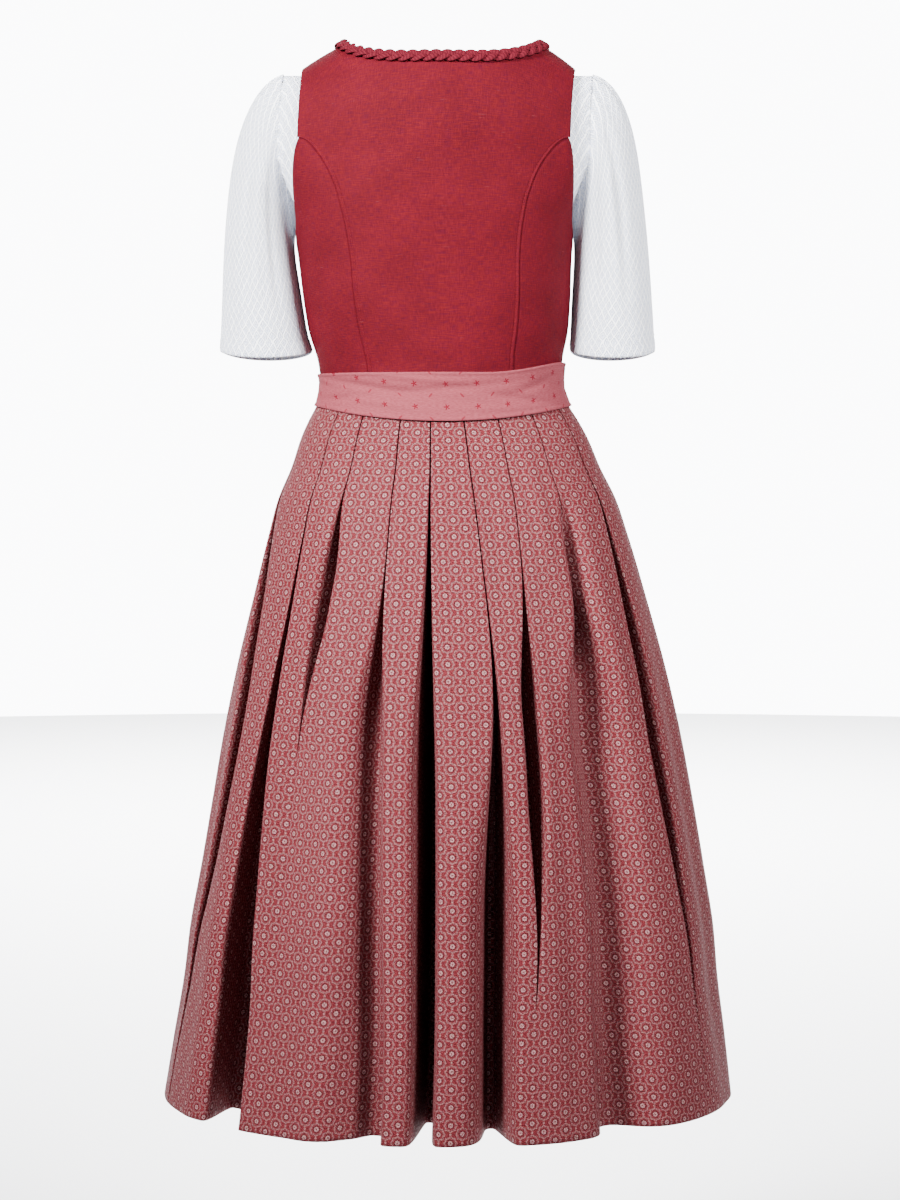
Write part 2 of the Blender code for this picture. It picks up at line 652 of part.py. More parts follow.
def neck_binding():
    """The narrow edge of the blouse's neckline, which shows in front."""
    angle, climb, _ = neck_loop(BLOUSE_NECK_ANGLE, BLOUSE_BACK_NECK_CLIMB, BLOUSE_FRONT_NECK_Z,
                                0.3, -0.3, 41)
    ring = []
    for across, high in ((0.0, BINDING_HIGH), (1.0, BINDING_HIGH), (1.0, 0.0), (0.0, 0.0)):
        ring.append(along_neck(angle, climb, BLOUSE_INSET, across * BINDING_WIDTH,
                               BINDING_LIFT + high, 0.0))
    return loft("blouse_neck_binding", np.stack(ring, axis=1), "white_cotton")


def button(index):
    """A small domed button on the lapped front."""
    height = mix(BUTTON_TOP_Z, BUTTON_BOTTOM_Z, index / (BUTTON_COUNT - 1))
    place, normal, _, _ = frame_on_torso(np.array([0.0]), down_front(np.array([height])), 0.0)
    bpy.ops.mesh.primitive_cylinder_add(vertices=10, radius=BUTTON_RADIUS, depth=BUTTON_HIGH)
    obj = bpy.context.object
    obj.name = f"button_{index + 1}"
    lift = BUTTON_HIGH / 2 + 2 * SEAM_GAP
    obj.location = place[0] + normal[0] * lift
    obj.rotation_euler = (math.atan2(-normal[0][1], normal[0][2]), 0.0, 0.0)
    bevel = obj.modifiers.new("rounded edge", "BEVEL")
    bevel.width = BUTTON_EDGE
    bevel.segments = 1
    bevel.angle_limit = math.radians(40)
    bevel.limit_method = "ANGLE"
    return finish_object(obj, "horn_button")


def skirt_outline(angle, height, front):
    """Half-width and depth of the skirt, and the outward direction, at an angle."""
    half = read(SKIRT, "half_width", height)
    depth = read(SKIRT, "front_depth" if front else "back_depth", height)
    sine, cosine = np.sin(np.radians(angle)), np.cos(np.radians(angle))
    out = np.stack(np.broadcast_arrays(sine / half, cosine / depth), axis=-1)
    out /= np.linalg.norm(out, axis=-1, keepdims=True)
    return half * sine, depth * cosine, out


def pleat_state(pleat, height):
    """Angle, depth and half-widths of a pleat's valley at this height."""
    part = np.clip((BAND_LOW_Z - height) / (BAND_LOW_Z - HEM_Z), 0.0, 1.0)
    first = mix(pleat.waist, pleat.middle, ease(0.0, 0.45, part))
    angle = mix(first, pleat.hem, ease(0.45, 1.0, part))
    here = 1 - ease(pleat.shuts, pleat.gone, part)
    opened = ease(pleat.opens, pleat.full, part) * here
    depth = mix(SLIT_DEPTH * here, pleat.depth, opened)
    left = mix(SLIT_WIDTH, pleat.left, opened**1.5)
    right = mix(SLIT_WIDTH, pleat.right, opened**1.5)
    return angle, depth, left, right


def arc_per_degree(angle, height, front):
    half = read(SKIRT, "half_width", height)
    depth = read(SKIRT, "front_depth" if front else "back_depth", height)
    turned = np.radians(angle)
    return np.radians(1.0) * np.hypot(half * np.cos(turned), depth * np.sin(turned))


def recess(angle, height, front, pleats, inset):
    """How far the pleated cloth lies inside the outline, with inset for the inner skin."""
    total = np.zeros(np.broadcast(angle, height).shape)
    for pleat in pleats:
        centre, depth, left, right = pleat_state(pleat, height)
        away = (angle - centre) * arc_per_degree(centre, height, front)
        width = np.where(away > 0, left, right) + inset
        power = SOFT_POWER + SHARP_POWER * np.exp(-(width - inset) / SHARP_WIDTH)
        total = total + depth / (1 + np.abs(away / width) ** power)
    return total + inset


def pleat_columns(heights, front, pleats, steps, widen):
    """Angles of the grid's columns: several through each valley, and one on each face."""
    columns = []
    states = [pleat_state(pleat, heights) for pleat in pleats]
    limits = [np.full_like(heights, 90.0 - gap_angle())]
    for one, other in zip(states, states[1:]):
        limits.append((one[0] + other[0]) / 2)
    limits.append(-limits[0])
    columns.append(limits[0])
    for (centre, _, left, right), high, low in zip(states, limits, limits[1:]):
        scale = arc_per_degree(centre, heights, front)
        for step in reversed(steps):
            room = (high - centre) if step > 0 else (centre - low)
            width = (left if step > 0 else right) + widen
            reach = np.abs(step) * width / scale
            columns.append(centre + np.sign(step) * room * 0.9 * np.tanh(reach / (room * 0.9)))
        columns.append(low)
    return np.stack(columns, axis=-1)


def skirt_half(name, front, pleats, steps, rows):
    """One width of the skirt, from side seam to side seam, set into deep pleats."""
    heights = np.array(rows)

    def skin(inset):
        angle = pleat_columns(heights, front, pleats, steps, inset)
        tall = np.broadcast_to(heights[:, None], angle.shape)
        x, y, out = skirt_outline(angle, tall, front)
        back = recess(angle, tall, front, pleats, inset)
        sign = -1.0 if front else 1.0
        return placed(x - back * out[..., 0], sign * (y - back * out[..., 1]), tall)

    return wall(name, skin(0.0), skin(SKIRT_THICK), "rose_jacquard")


def band_edges(angle, front):
    """Top and bottom heights of the apron band. It rides up at the wearer's right."""
    right_side = ease(20.0, 75.0, -angle)
    cosine = np.cos(np.radians(angle))
    return BAND_TOP_Z + BAND_LIFT * right_side, BAND_LOW_Z - BAND_SAG * cosine**2


def on_band(angle, height, front, inset=0.0):
    half = read(BAND, "half_width", height) - inset
    depth = read(BAND, "front_depth" if front else "back_depth", height) - inset
    sign = -1.0 if front else 1.0
    turned = np.radians(angle)
    return placed(half * np.sin(turned), sign * depth * np.cos(turned), height)


def band_piece(name, front):
    """The apron's waistband in front, or the tie that runs round the back."""
    reach = 90.0 - gap_angle()
    angle = np.linspace(-reach, reach, 25)[None, :]
    part = even(2)[:, None]
    top, bottom = band_edges(angle, front)
    height = mix(bottom, top, part)
    angle = np.broadcast_to(angle, height.shape)
    return wall(name, on_band(angle, height, front), on_band(angle, height, front, BAND_THICK),
                "pink_apron")


def apron_stand(part):
    """How far the apron stands off the skirt's outline, and the height of its waves."""
    clear = mix(APRON_CLEAR, APRON_CLEAR_HEM, ease(0.0, 0.5, part))
    return clear, mix(APRON_WAVE_TOP, APRON_WAVE_HEM, ease(0.0, 0.8, part))


def on_apron(angle, part, lift):
    """The apron from the band's lower edge, part 0, to its hem, part 1. Its soft pleats
    stand out from the skirt's outline."""
    top = band_edges(angle, True)[1] - SEAM_GAP
    height = mix(top, APRON_HEM_Z, part)
    x, y, out = skirt_outline(angle, height, True)
    clear, wave = apron_stand(part)
    swing = (1 - np.cos(angle / APRON_ANGLE * math.pi * APRON_PLEATS)) / 2
    stand = clear + wave * swing + lift
    return placed(x + stand * out[..., 0], -(y + stand * out[..., 1]), height)


def apron_panel():
    angle = np.linspace(-APRON_ANGLE, APRON_ANGLE, 4 * APRON_PLEATS + 1)[None, :]
    part = np.array([0.0, 0.05, 0.13, 0.27, 0.45, 0.63, 0.82, 1.0])[:, None]
    angle, part = np.broadcast_arrays(angle, part)
    return wall("apron_panel", on_apron(angle, part, 0.0), on_apron(angle, part, -APRON_THICK),
                "pink_apron")


def bow_knot():
    bpy.ops.mesh.primitive_cube_add(size=1.0)
    obj = bpy.context.object
    obj.name = "bow_knot"
    obj.data.transform(obj.matrix_world)
    for vert in obj.data.vertices:
        vert.co = [c * size for c, size in zip(vert.co, KNOT_SIZE)]
    lift = KNOT_SIZE[1] / 2 + KNOT_SEAT
    spot = on_band(np.array([BOW_ANGLE]), np.array([BOW_Z]), True, -lift)[0]
    obj.location = spot
    across, deep = read(BAND, "half_width", BOW_Z), read(BAND, "front_depth", BOW_Z)
    turned = math.radians(BOW_ANGLE)
    facing = math.atan2(deep * math.sin(turned), across * math.cos(turned))
    obj.rotation_euler = (0.0, 0.0, facing)
    bevel = obj.modifiers.new("soft edges", "BEVEL")
    bevel.width = KNOT_EDGE
    bevel.segments = 2
    return finish_object(obj, "pink_apron")


def bow_loop(name, side):
    """A loop of the bow: out from the knot along the band, and back in front of itself."""
    way = even(12)[None, :]
    across = np.array([-0.5, 0.0, 0.5])[:, None]
    bulge = np.sin(math.pi * way)
    reach = KNOT_SIZE[0] / 2 + SEAM_GAP + LOOP_REACH * bulge**0.8
    middle = KNOT_SEAT + KNOT_SIZE[1] / 2
    stand = middle - (LOOP_PRESSED + LOOP_FULL * bulge**0.7) * np.cos(math.pi * way)
    wide = mix(LOOP_NARROW, LOOP_WIDE, bulge**0.7)
    height = BOW_Z - LOOP_DROOP * bulge**2 + across * wide
    angle = BOW_ANGLE + side * np.degrees(reach / BAND_RADIUS)
    angle, height, stand = np.broadcast_arrays(angle, height, stand)
    points = on_band(angle, np.maximum(height, BAND[0].height), True, -stand)
    points[..., 2] = height
    return sheet(name, points, TIE_THICK, "pink_apron")


def bow_tail(name, side):
    """A free end of the tie, hanging over the apron."""
    way = even(9)[:, None]
    across = np.array([-0.5, 0.0, 0.5])[None, :]
    height = BOW_Z - KNOT_SIZE[2] / 2 - SEAM_GAP - TAIL_LENGTH * way
    wide = mix(KNOT_SIZE[0] * TAIL_NARROW, TAIL_WIDE, ease(0.0, 0.3, way))
    centre = side * (wide / 2 + mix(TAIL_APART, TAIL_SPREAD, ease(0.0, 0.5, way)))
    half = read(SKIRT, "half_width", height)
    slant = np.where(way == 1, TAIL_SLANT * (across + 0.5) * side, 0.0)
    angle = BOW_ANGLE + np.degrees((centre + across * wide) / half)
    height = height + 0 * across + slant
    x, y, out = skirt_outline(angle, height, True)
    over_apron = sum(apron_stand((BAND_LOW_Z - height) / (BAND_LOW_Z - APRON_HEM_Z)))
    resting = over_apron + TAIL_CLEAR + TAIL_RIPPLE * np.sin(9 * way + side)
    stand = mix(TAIL_START, resting, ease(0.0, 0.2, way))
    return sheet(name, placed(x + stand * out[..., 0], -(y + stand * out[..., 1]), height),
                 TIE_THICK, "pink_apron")


def build_dress():
    centre_back()
    for side, hand in ((1, "left"), (-1, "right")):
        side_panel(f"bodice_side_back_{hand}", side, PRINCESS_BACK_ANGLE, False)
        side_panel(f"bodice_side_front_{hand}", side, PRINCESS_FRONT_ANGLE, True)
        front_panel(f"bodice_front_{hand}", side)
    neck_braid()
    for index in range(BUTTON_COUNT):
        button(index)
    skirt_half("skirt_back", False, BACK_PLEATS, BACK_STEPS, SKIRT_ROWS)
    skirt_half("skirt_front", True, FRONT_PLEATS, FRONT_STEPS, FRONT_ROWS)


def build_blouse():
    blouse_body("blouse_back", False)
    blouse_body("blouse_front", True)
    neck_binding()
    sleeve("sleeve_left", 1)
    sleeve("sleeve_right", -1)


def build_apron():
    band_piece("apron_waistband", True)
    band_piece("apron_tie_back", False)
    apron_panel()
    bow_knot()
    bow_loop("bow_loop_left", 1)
    bow_loop("bow_loop_right", -1)
    bow_tail("bow_end_left", 1)
    bow_tail("bow_end_right", -1)


def main():
    clear_scene()
    bpy.context.scene.collection.children.link(bpy.data.collections.new("dirndl"))
    build_dress()
    build_blouse()
    build_apron()


main()
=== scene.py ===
# %% [markdown]
# # A worn dirndl, built as it is sewn
# A dirndl set is a fitted bodice sewn to a pleated skirt, a short blouse under it and an
# apron tied over it. Each piece of cloth here is one surface worked out from the same
# body form, so that the seams meet. The lesson goes from the studio to the cloth, and
# then from the bodice to the bow. Everything is in metres, the front faces -Y, and the
# wearer's left is +X.

# %% Load the frame
import math
from collections import namedtuple

import bmesh
import bpy
import numpy as np
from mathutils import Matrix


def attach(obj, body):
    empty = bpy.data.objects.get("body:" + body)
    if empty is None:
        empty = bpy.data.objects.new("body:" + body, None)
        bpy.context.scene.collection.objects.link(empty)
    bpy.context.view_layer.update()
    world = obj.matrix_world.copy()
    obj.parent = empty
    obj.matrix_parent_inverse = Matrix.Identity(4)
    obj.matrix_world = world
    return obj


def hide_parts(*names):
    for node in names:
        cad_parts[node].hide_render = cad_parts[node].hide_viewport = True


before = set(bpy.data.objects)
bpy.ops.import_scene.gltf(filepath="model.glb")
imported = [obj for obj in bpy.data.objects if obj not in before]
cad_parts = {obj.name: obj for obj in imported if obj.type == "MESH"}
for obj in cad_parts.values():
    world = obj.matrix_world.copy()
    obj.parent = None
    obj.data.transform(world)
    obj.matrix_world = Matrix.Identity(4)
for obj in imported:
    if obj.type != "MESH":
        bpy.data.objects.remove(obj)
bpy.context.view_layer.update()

# %% [markdown]
# ## The camera
# The garment is seen from the back, from about three metres, with the lens a little
# above the middle of the back and tipped down by three degrees. A tipped camera needs
# no lens shift, so the garment stays in the middle when it is seen from other sides.

# %% Camera
FRAME_HEIGHT_PX = 1200
FOCAL_PX = 2970
CAMERA_PLACE = (-0.0015, 3.2, -0.4187)
CAMERA_PITCH, CAMERA_YAW = 2.92, -0.10

lens = bpy.data.cameras.new("camera")
lens.lens = FOCAL_PX * lens.sensor_width / FRAME_HEIGHT_PX
camera = bpy.data.objects.new("camera", lens)
camera.location = CAMERA_PLACE
camera.rotation_euler = (math.radians(90 - CAMERA_PITCH), 0, math.radians(180 + CAMERA_YAW))
bpy.context.scene.collection.objects.link(camera)
bpy.context.scene.camera = camera
print("lens of", round(lens.lens, 1), "mm at", CAMERA_PLACE[1], "m")

# %% [markdown]
# ## Colours and nodes
# Colours are picked as sRGB hex values, as a screen shows them, and the shader wants
# linear light. One function turns one into the other. Another adds a node, sets it up
# and links it, and the short ones below build on it, which keeps a long material
# readable. A wave texture of scale 1 has its bands WAVE_PERIOD apart.

# %% Colour and node helpers
WAVE_PERIOD = 0.314

def linear(hex_colour):
    """A colour such as "#A7313D" as linear red, green, blue and alpha."""
    parts = [int(hex_colour[i : i + 2], 16) / 255 for i in (1, 3, 5)]
    curved = [((c + 0.055) / 1.055) ** 2.4 if c > 0.04045 else c / 12.92 for c in parts]
    return (*curved, 1.0)

def add(tree, kind, inputs=None, **settings):
    """Adds a node. An input is a number, a colour, a socket, or a node's first output."""
    made = tree.nodes.new("ShaderNode" + kind)
    for name, value in settings.items():
        setattr(made, name, value)
    for name, value in (inputs or {}).items():
        if isinstance(value, bpy.types.Node):
            value = value.outputs[0]
        if isinstance(value, bpy.types.NodeSocket):
            tree.links.new(value, made.inputs[name])
        else:
            made.inputs[name].default_value = value
    return made

def maths(tree, operation, *values):
    return add(tree, "Math", dict(enumerate(values)), operation=operation)

def vector(tree, operation, *values):
    return add(tree, "VectorMath", dict(enumerate(values)), operation=operation)

def length_of(tree, place):
    return vector(tree, "LENGTH", place).outputs["Value"]

def ranged(tree, value, start, end, low=0.0, high=1.0, kind="LINEAR"):
    """Low where the value is at start, high where it is at end, and level beyond both."""
    return add(tree, "MapRange", {"Value": value, "From Min": start, "From Max": end,
                                  "To Min": low, "To Max": high}, interpolation_type=kind)

def blend(tree, share, first, second, kind="MIX"):
    return add(tree, "MixRGB", {"Fac": share, "Color1": first, "Color2": second},
               blend_type=kind)

def noise(tree, place, detail, scale=1.0):
    return add(tree, "TexNoise", {"Vector": place, "Scale": scale, "Detail": detail})

def bands(tree, place, pitch, distortion, detail, direction):
    return add(tree, "TexWave", {"Vector": place, "Scale": WAVE_PERIOD / pitch,
                                 "Distortion": distortion, "Detail": detail},
               bands_direction=direction)

def ramp(tree, factor, stops):
    """Colours along a factor, each stop a place from 0 to 1 and a hex colour."""
    made = add(tree, "ValToRGB", {"Fac": factor})
    elements = made.color_ramp.elements
    while len(elements) < len(stops):
        elements.new(0.5)
    for element, (place, colour) in zip(elements, stops):
        element.position = place
        element.color = linear(colour)
    return made

def new_material(name, **shader_inputs):
    """A material with a Principled shader, whose constant inputs are given by name."""
    made = bpy.data.materials.new(name)
    made.use_nodes = True
    shader = made.node_tree.nodes["Principled BSDF"]
    for socket, value in shader_inputs.items():
        shader.inputs[socket.replace("_", " ")].default_value = value
    return made, made.node_tree, shader

def cloth_material(name, roughness, specular):
    """A new material, its tree and shader, and each point's place on the cloth."""
    made, tree, shader = new_material(name, Roughness=roughness, Specular_IOR_Level=specular)
    return made, tree, shader, add(tree, "UVMap", uv_map="metres")

def surface(tree, shader, colour, height, strength, distance):
    """Gives a shader its colour, and a height as its relief."""
    raised = add(tree, "Bump", {"Height": height, "Strength": strength, "Distance": distance})
    tree.links.new(colour.outputs[0], shader.inputs["Base Color"])
    tree.links.new(raised.outputs[0], shader.inputs["Normal"])

print("helpers ready, mid grey is", round(linear("#808080")[0], 3))

# %% [markdown]
# ## The studio
# Two softboxes stand at either side of the lens, the left one stronger. Both reach the
# faces of the pleats, and neither can look into a valley, so the valleys stay dark. Their
# beams are narrow and aimed at the bodice, so the light falls off towards the hem. The
# surround is dim on the camera's side and bright behind the garment, and one more
# softbox hangs over the floor there, which makes the floor pale.

# %% Floor and surround
FLOOR_Z, FLOOR_RADIUS = -1.46, 8.5
AMBIENT, BACKDROP = 0.26, 12.0
BACKDROP_EDGE, BACKDROP_FULL = 0.88, 0.972

floor_material, tree, shader = new_material("pale_floor", Roughness=0.35)
shader.inputs["Base Color"].default_value = linear("#F4F4F6")
bpy.ops.mesh.primitive_circle_add(vertices=128, radius=FLOOR_RADIUS, fill_type="NGON",
                                  location=(0, 0, FLOOR_Z))
floor = bpy.context.object
floor.name = "floor"
floor.data.materials.append(floor_material)

world = bpy.data.worlds.new("pale_surround")
world.use_nodes = True
tree = world.node_tree
direction = add(tree, "TexCoord").outputs["Generated"]
behind = vector(tree, "DOT_PRODUCT", direction, (0, -1, 0)).outputs["Value"]
strength = ranged(tree, behind, BACKDROP_EDGE, BACKDROP_FULL, AMBIENT, BACKDROP, "SMOOTHSTEP")
surround = tree.nodes["Background"]
surround.inputs["Color"].default_value = linear("#F8F9FC")
tree.links.new(strength.outputs[0], surround.inputs["Strength"])
bpy.context.scene.world = world
print("surround", AMBIENT, "on the camera's side and", BACKDROP, "behind")

# %% Softboxes
Light = namedtuple("Light", "name place aim size spread watts")
LIGHTS = (
    Light("key", (2.6, 2.8, 1.5), (0.0, 0.0, -0.14), 1.2, 43, 68),
    Light("second", (-2.6, 2.8, 1.5), (0.0, 0.0, -0.14), 1.2, 43, 36),
    Light("floor_light", (0.0, -5.2, 2.4), (0.0, -4.9, -1.4), 4.0, 120, 1100),
    Light("front_fill", (0.8, -3.4, 1.2), (0.0, 0.0, -0.5), 1.6, 120, 30),
)
for light in LIGHTS:
    data = bpy.data.lights.new(light.name, "AREA")
    data.size = light.size
    data.energy = light.watts
    data.spread = math.radians(light.spread)
    lamp = bpy.data.objects.new(light.name, data)
    lamp.location = light.place
    away = np.subtract(light.place, light.aim)
    yaw = math.atan2(away[0], -away[1])
    lamp.rotation_euler = (math.atan2(math.hypot(away[0], away[1]), away[2]), 0, yaw)
    bpy.context.scene.collection.objects.link(lamp)
print("lights:", ", ".join(light.name for light in LIGHTS))

# %% [markdown]
# ## Cloth as a grid
# A piece of cloth is a grid of points, filled with faces and given a thickness by
# Solidify. Its UV map holds metres measured along the cloth, so every weave, print and
# relief below can be given in real millimetres and follows the folds by itself.

# %% Make a piece of cloth
HANDS = ((1, "left"), (-1, "right"))

def unit(vectors):
    return vectors / np.linalg.norm(vectors, axis=-1, keepdims=True)

def lengths(points, axis):
    """Distance along the rows or columns of a grid of points, from its first one."""
    steps = np.linalg.norm(np.diff(points, axis=axis), axis=-1)
    pad = [(0, 0), (0, 0)]
    pad[axis] = (1, 0)
    return np.pad(np.cumsum(steps, axis=axis), pad)

def flat_cloth(points):
    """Metres across and up the cloth for each point, from its middle column and first row."""
    across = lengths(points, 1)
    across = across - across[:, points.shape[1] // 2][:, None]
    return np.stack([across, lengths(points, 0)], axis=-1)

def faces_out(points, centre):
    """Whether the grid's faces point away from the line that centre gives for each row."""
    across = points[1:, 1:] - points[1:, :-1]
    up = points[1:, 1:] - points[:-1, 1:]
    away = points[1:, 1:] - centre(points[1:, 1:])
    return (np.cross(across, up) * away).sum() > 0

def own_axis(points):
    """The middle of each row, for a tube."""
    return points.mean(axis=1, keepdims=True)

def garment_axis(points):
    """The upright line through the middle of the garment."""
    return points * np.array([0, 0, 1])

def cloth(name, points, material, thickness, flat=None, split=None, centre=garment_axis,
          closed=False, offset=-1.0):
    """A piece of cloth through points[row][column]. Flat holds its cloth coordinates, and
    split the ones that the faces on the left of a column use instead."""
    flat = flat_cloth(points) if flat is None else flat
    split = flat if split is None else split
    if not faces_out(points, centre):
        points, flat, split = points[:, ::-1], split[:, ::-1], flat[:, ::-1]
    rows, columns = points.shape[:2]
    build = bmesh.new()
    bmesh.ops.create_grid(build, x_segments=columns - 1, y_segments=rows - 1, size=0.5)
    mesh = bpy.data.meshes.new(name)
    build.to_mesh(mesh)
    build.free()
    mesh.vertices.foreach_set("co", points.astype(np.float32).ravel())
    corner = np.empty(len(mesh.loops), np.int32)
    mesh.loops.foreach_get("vertex_index", corner)
    row, column = np.divmod(corner.reshape(-1, 4), columns)
    right_side = (column > column.min(axis=1, keepdims=True))[..., None]
    placed_at = np.where(right_side, split[row, column], flat[row, column])
    layer = mesh.uv_layers.new(name="metres")
    layer.data.foreach_set("uv", placed_at.astype(np.float32).ravel())
    if closed:
        build = bmesh.new()
        build.from_mesh(mesh)
        bmesh.ops.remove_doubles(build, verts=build.verts, dist=1e-6)
        build.to_mesh(mesh)
        build.free()
    mesh.update()
    mesh.shade_smooth()
    mesh.materials.append(material)
    piece = bpy.data.objects.new(name, mesh)
    bpy.context.scene.collection.objects.link(piece)
    if thickness:
        solid = piece.modifiers.new("thickness", "SOLIDIFY")
        solid.thickness = thickness
        solid.offset = offset
    return piece

def stands_for(piece, node):
    """Rides the piece on the garment, in the place of its node."""
    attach(piece, "root")
    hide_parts(node)

def sewn_in(piece, node):
    """Puts the piece in the place of its node. It also reads the piece's cloth coordinates and
    sums its area, but uses neither."""
    stands_for(piece, node)
    mesh = piece.data
    layer = np.empty(len(mesh.loops) * 2, np.float32)
    mesh.uv_layers["metres"].data.foreach_get("uv", layer)
    area = sum(face.area for face in mesh.polygons)
    return piece

print("cloth helpers ready")

# %% [markdown]
# ## The body form
# A bodice is cut to follow the body, so every bodice and blouse piece is drawn on one
# smooth form: a table of sections from the waist to the chest, and an arch over the
# shoulder. A point on it is an angle round the body and a climb: up the back, over the
# shoulder, and down the front. Curves through a short table are easier to tune than
# hand-placed points, and both skins of the cloth come from the same formula.

# %% Sections of the form and smooth reading
Section = namedtuple("Section", "height half_width back_depth front_depth")
Lean = namedtuple("Lean", "height across")

WAIST_Z, HEM_Z, APRON_HEM_Z, BLOUSE_HEM_Z = -0.352, -1.115, -1.015, -0.262
TORSO = (
    Section(-0.352, 0.1290, 0.0985, 0.1020),
    Section(-0.323, 0.1315, 0.0990, 0.1045),
    Section(-0.295, 0.1385, 0.1000, 0.1120),
    Section(-0.264, 0.1425, 0.1015, 0.1190),
    Section(-0.219, 0.1460, 0.1035, 0.1250),
    Section(-0.187, 0.1490, 0.1050, 0.1260),
    Section(-0.153, 0.1520, 0.1060, 0.1220),
    Section(-0.122, 0.1515, 0.1060, 0.1165),
    Section(-0.100, 0.1500, 0.1055, 0.1150),
)
LEAN = (
    Lean(-1.120, -0.0045),
    Lean(-1.000, -0.0075),
    Lean(-0.860, -0.0098),
    Lean(-0.660, -0.0085),
    Lean(-0.510, -0.0052),
    Lean(-0.372, 0.0005),
    Lean(-0.290, 0.0055),
    Lean(-0.020, 0.0055),
    Lean(0.020, 0.0008),
    Lean(0.060, 0.0008),
)

def ease(low, high, value):
    """0 up to low, 1 from high, and a smooth step between."""
    part = np.clip((value - low) / (high - low), 0.0, 1.0)
    return part * part * (3 - 2 * part)

def mix(first, second, part):
    return first + (second - first) * part

def bump(value, centre, half):
    """1 at the centre, falling softly to nothing some way past half."""
    return np.exp(-(((value - centre) / half) ** 2))

def read(table, column, height):
    """A column of a table, read at any height from a smooth curve through its rows."""
    rows = sorted(table)
    known = np.array([row.height for row in rows])
    value = np.array([getattr(row, column) for row in rows])
    slope = np.gradient(value, known)
    i = np.clip(np.searchsorted(known, height) - 1, 0, len(rows) - 2)
    step = known[i + 1] - known[i]
    t = np.clip((height - known[i]) / step, 0.0, 1.0)
    ends = (1 + 2 * t) * (1 - t) ** 2 * value[i] + t**2 * (3 - 2 * t) * value[i + 1]
    return ends + step * (t * (1 - t) ** 2 * slope[i] - t**2 * (1 - t) * slope[i + 1])

def placed(x, y, z):
    """Joins coordinates into points and adds the garment's lean."""
    x, y, z = np.broadcast_arrays(x, y, z)
    return np.stack([x + read(LEAN, "across", z), y, z], axis=-1)

print("waist half-width", TORSO[0].half_width, "m, chest", TORSO[-1].half_width, "m")

# %% Points of the form
WAIST_POWER, CHEST_POWER, CHEST_Z = 2.0, 2.4, -0.240
ARCH_Z, ARCH_LENGTH = -0.100, 0.170
SHOULDER = ARCH_Z + ARCH_LENGTH
RIDGE_TOP_Z, RIDGE_FALL, RIDGE_BEND_X = 0.040, 2.55, 0.146
YOKE_HALF_WIDTH, YOKE_EDGE_DEPTH, YOKE_START_Z = 0.168, 0.046, -0.180
BUST_ANGLE, BUST_Z, BUST_RISE = 36.0, -0.170, 0.010
BUST_WIDE, BUST_HIGH = 20.0, 0.048

def ridge_z(x):
    """Height of the shoulder line: it falls away from the neck and is level past the strap."""
    return RIDGE_TOP_Z - RIDGE_FALL * np.minimum(np.abs(x), RIDGE_BEND_X) ** 2

def on_torso(angle, climb, inset=0.0):
    """Points of the form, moved in by inset."""
    angle, climb = np.broadcast_arrays(np.asarray(angle, float), np.asarray(climb, float))
    front = climb > SHOULDER
    rise = np.where(front, 2 * SHOULDER - climb, climb)
    base = np.minimum(rise, ARCH_Z)
    sine, cosine = np.sin(np.radians(angle)), np.abs(np.cos(np.radians(angle)))
    bust = BUST_RISE * np.exp(
        -(((np.abs(angle) - BUST_ANGLE) / BUST_WIDE) ** 2) - ((base - BUST_Z) / BUST_HIGH) ** 2
    )
    front_depth = read(TORSO, "front_depth", base) + bust
    depth = np.where(front, front_depth, read(TORSO, "back_depth", base)) - inset
    half = read(TORSO, "half_width", base) - inset
    power = 2 / mix(WAIST_POWER, CHEST_POWER, ease(WAIST_Z, CHEST_Z, base))
    edge = YOKE_EDGE_DEPTH - inset
    yoke = ease(YOKE_START_Z, ARCH_Z, base)
    x = mix(half * np.sign(sine) * np.abs(sine) ** power, YOKE_HALF_WIDTH * sine, yoke)
    y = mix(depth * cosine**power, edge + (depth - edge) * cosine**2, yoke)
    over = np.maximum(rise - ARCH_Z, 0.0) / ARCH_LENGTH * (math.pi / 2)
    z = base + (ridge_z(x) - inset - ARCH_Z) * np.sin(over)
    y = y * np.cos(over) * np.where(front, -1.0, 1.0)
    return placed(x, y, z)

def up_back(height):
    return height

def down_front(height):
    """The climb of a point at this height on the front."""
    return 2 * SHOULDER - height

def patch(left, right, bottom, top, across, up, settle=0.0, reach=1.0):
    """A pattern piece drawn flat in angle and climb, filled in between its four edges.
    Above 0, settle is the part up to which the columns run straight before they bend
    towards an uneven top edge, and reach is the share of the width over which a curved
    side edge bends the columns. Both keep columns from crossing beside a corner."""
    u = np.asarray(across)[None, :, None]
    v = np.asarray(up)[:, None, None]
    first, last = left(v[..., 0]), right(v[..., 0])
    sides = (1 - u) * first + u * last
    ends = (1 - v) * bottom(u[..., 0]) + v * top(u[..., 0])
    corner = [edge(np.array([[part]])) for edge in (bottom, top) for part in (0.0, 1.0)]
    low = (1 - u) * corner[0] + u * corner[1]
    high = (1 - u) * corner[2] + u * corner[3]
    if settle == 0:
        return sides + ends - (1 - v) * low - v * high
    calm = (1 - v) * low + v * high
    for edge, straight, away in ((first, calm[:, :1], u), (last, calm[:, -1:], 1 - u)):
        calm = calm + (edge - straight) * np.clip(1 - away / reach, 0.0, 1.0) ** 2
    sides = np.concatenate([calm[..., :1], sides[..., 1:]], axis=-1)
    bend = np.concatenate([ease(settle, 1.0, v), v**3], axis=-1)
    return sides + (1 - v) * (bottom(u[..., 0]) - low) + bend * (top(u[..., 0]) - high)

def pair(angle, climb):
    angle, climb = np.broadcast_arrays(angle, climb)
    return np.stack([angle, climb], axis=-1)

def even(count):
    return np.linspace(0.0, 1.0, count + 1)

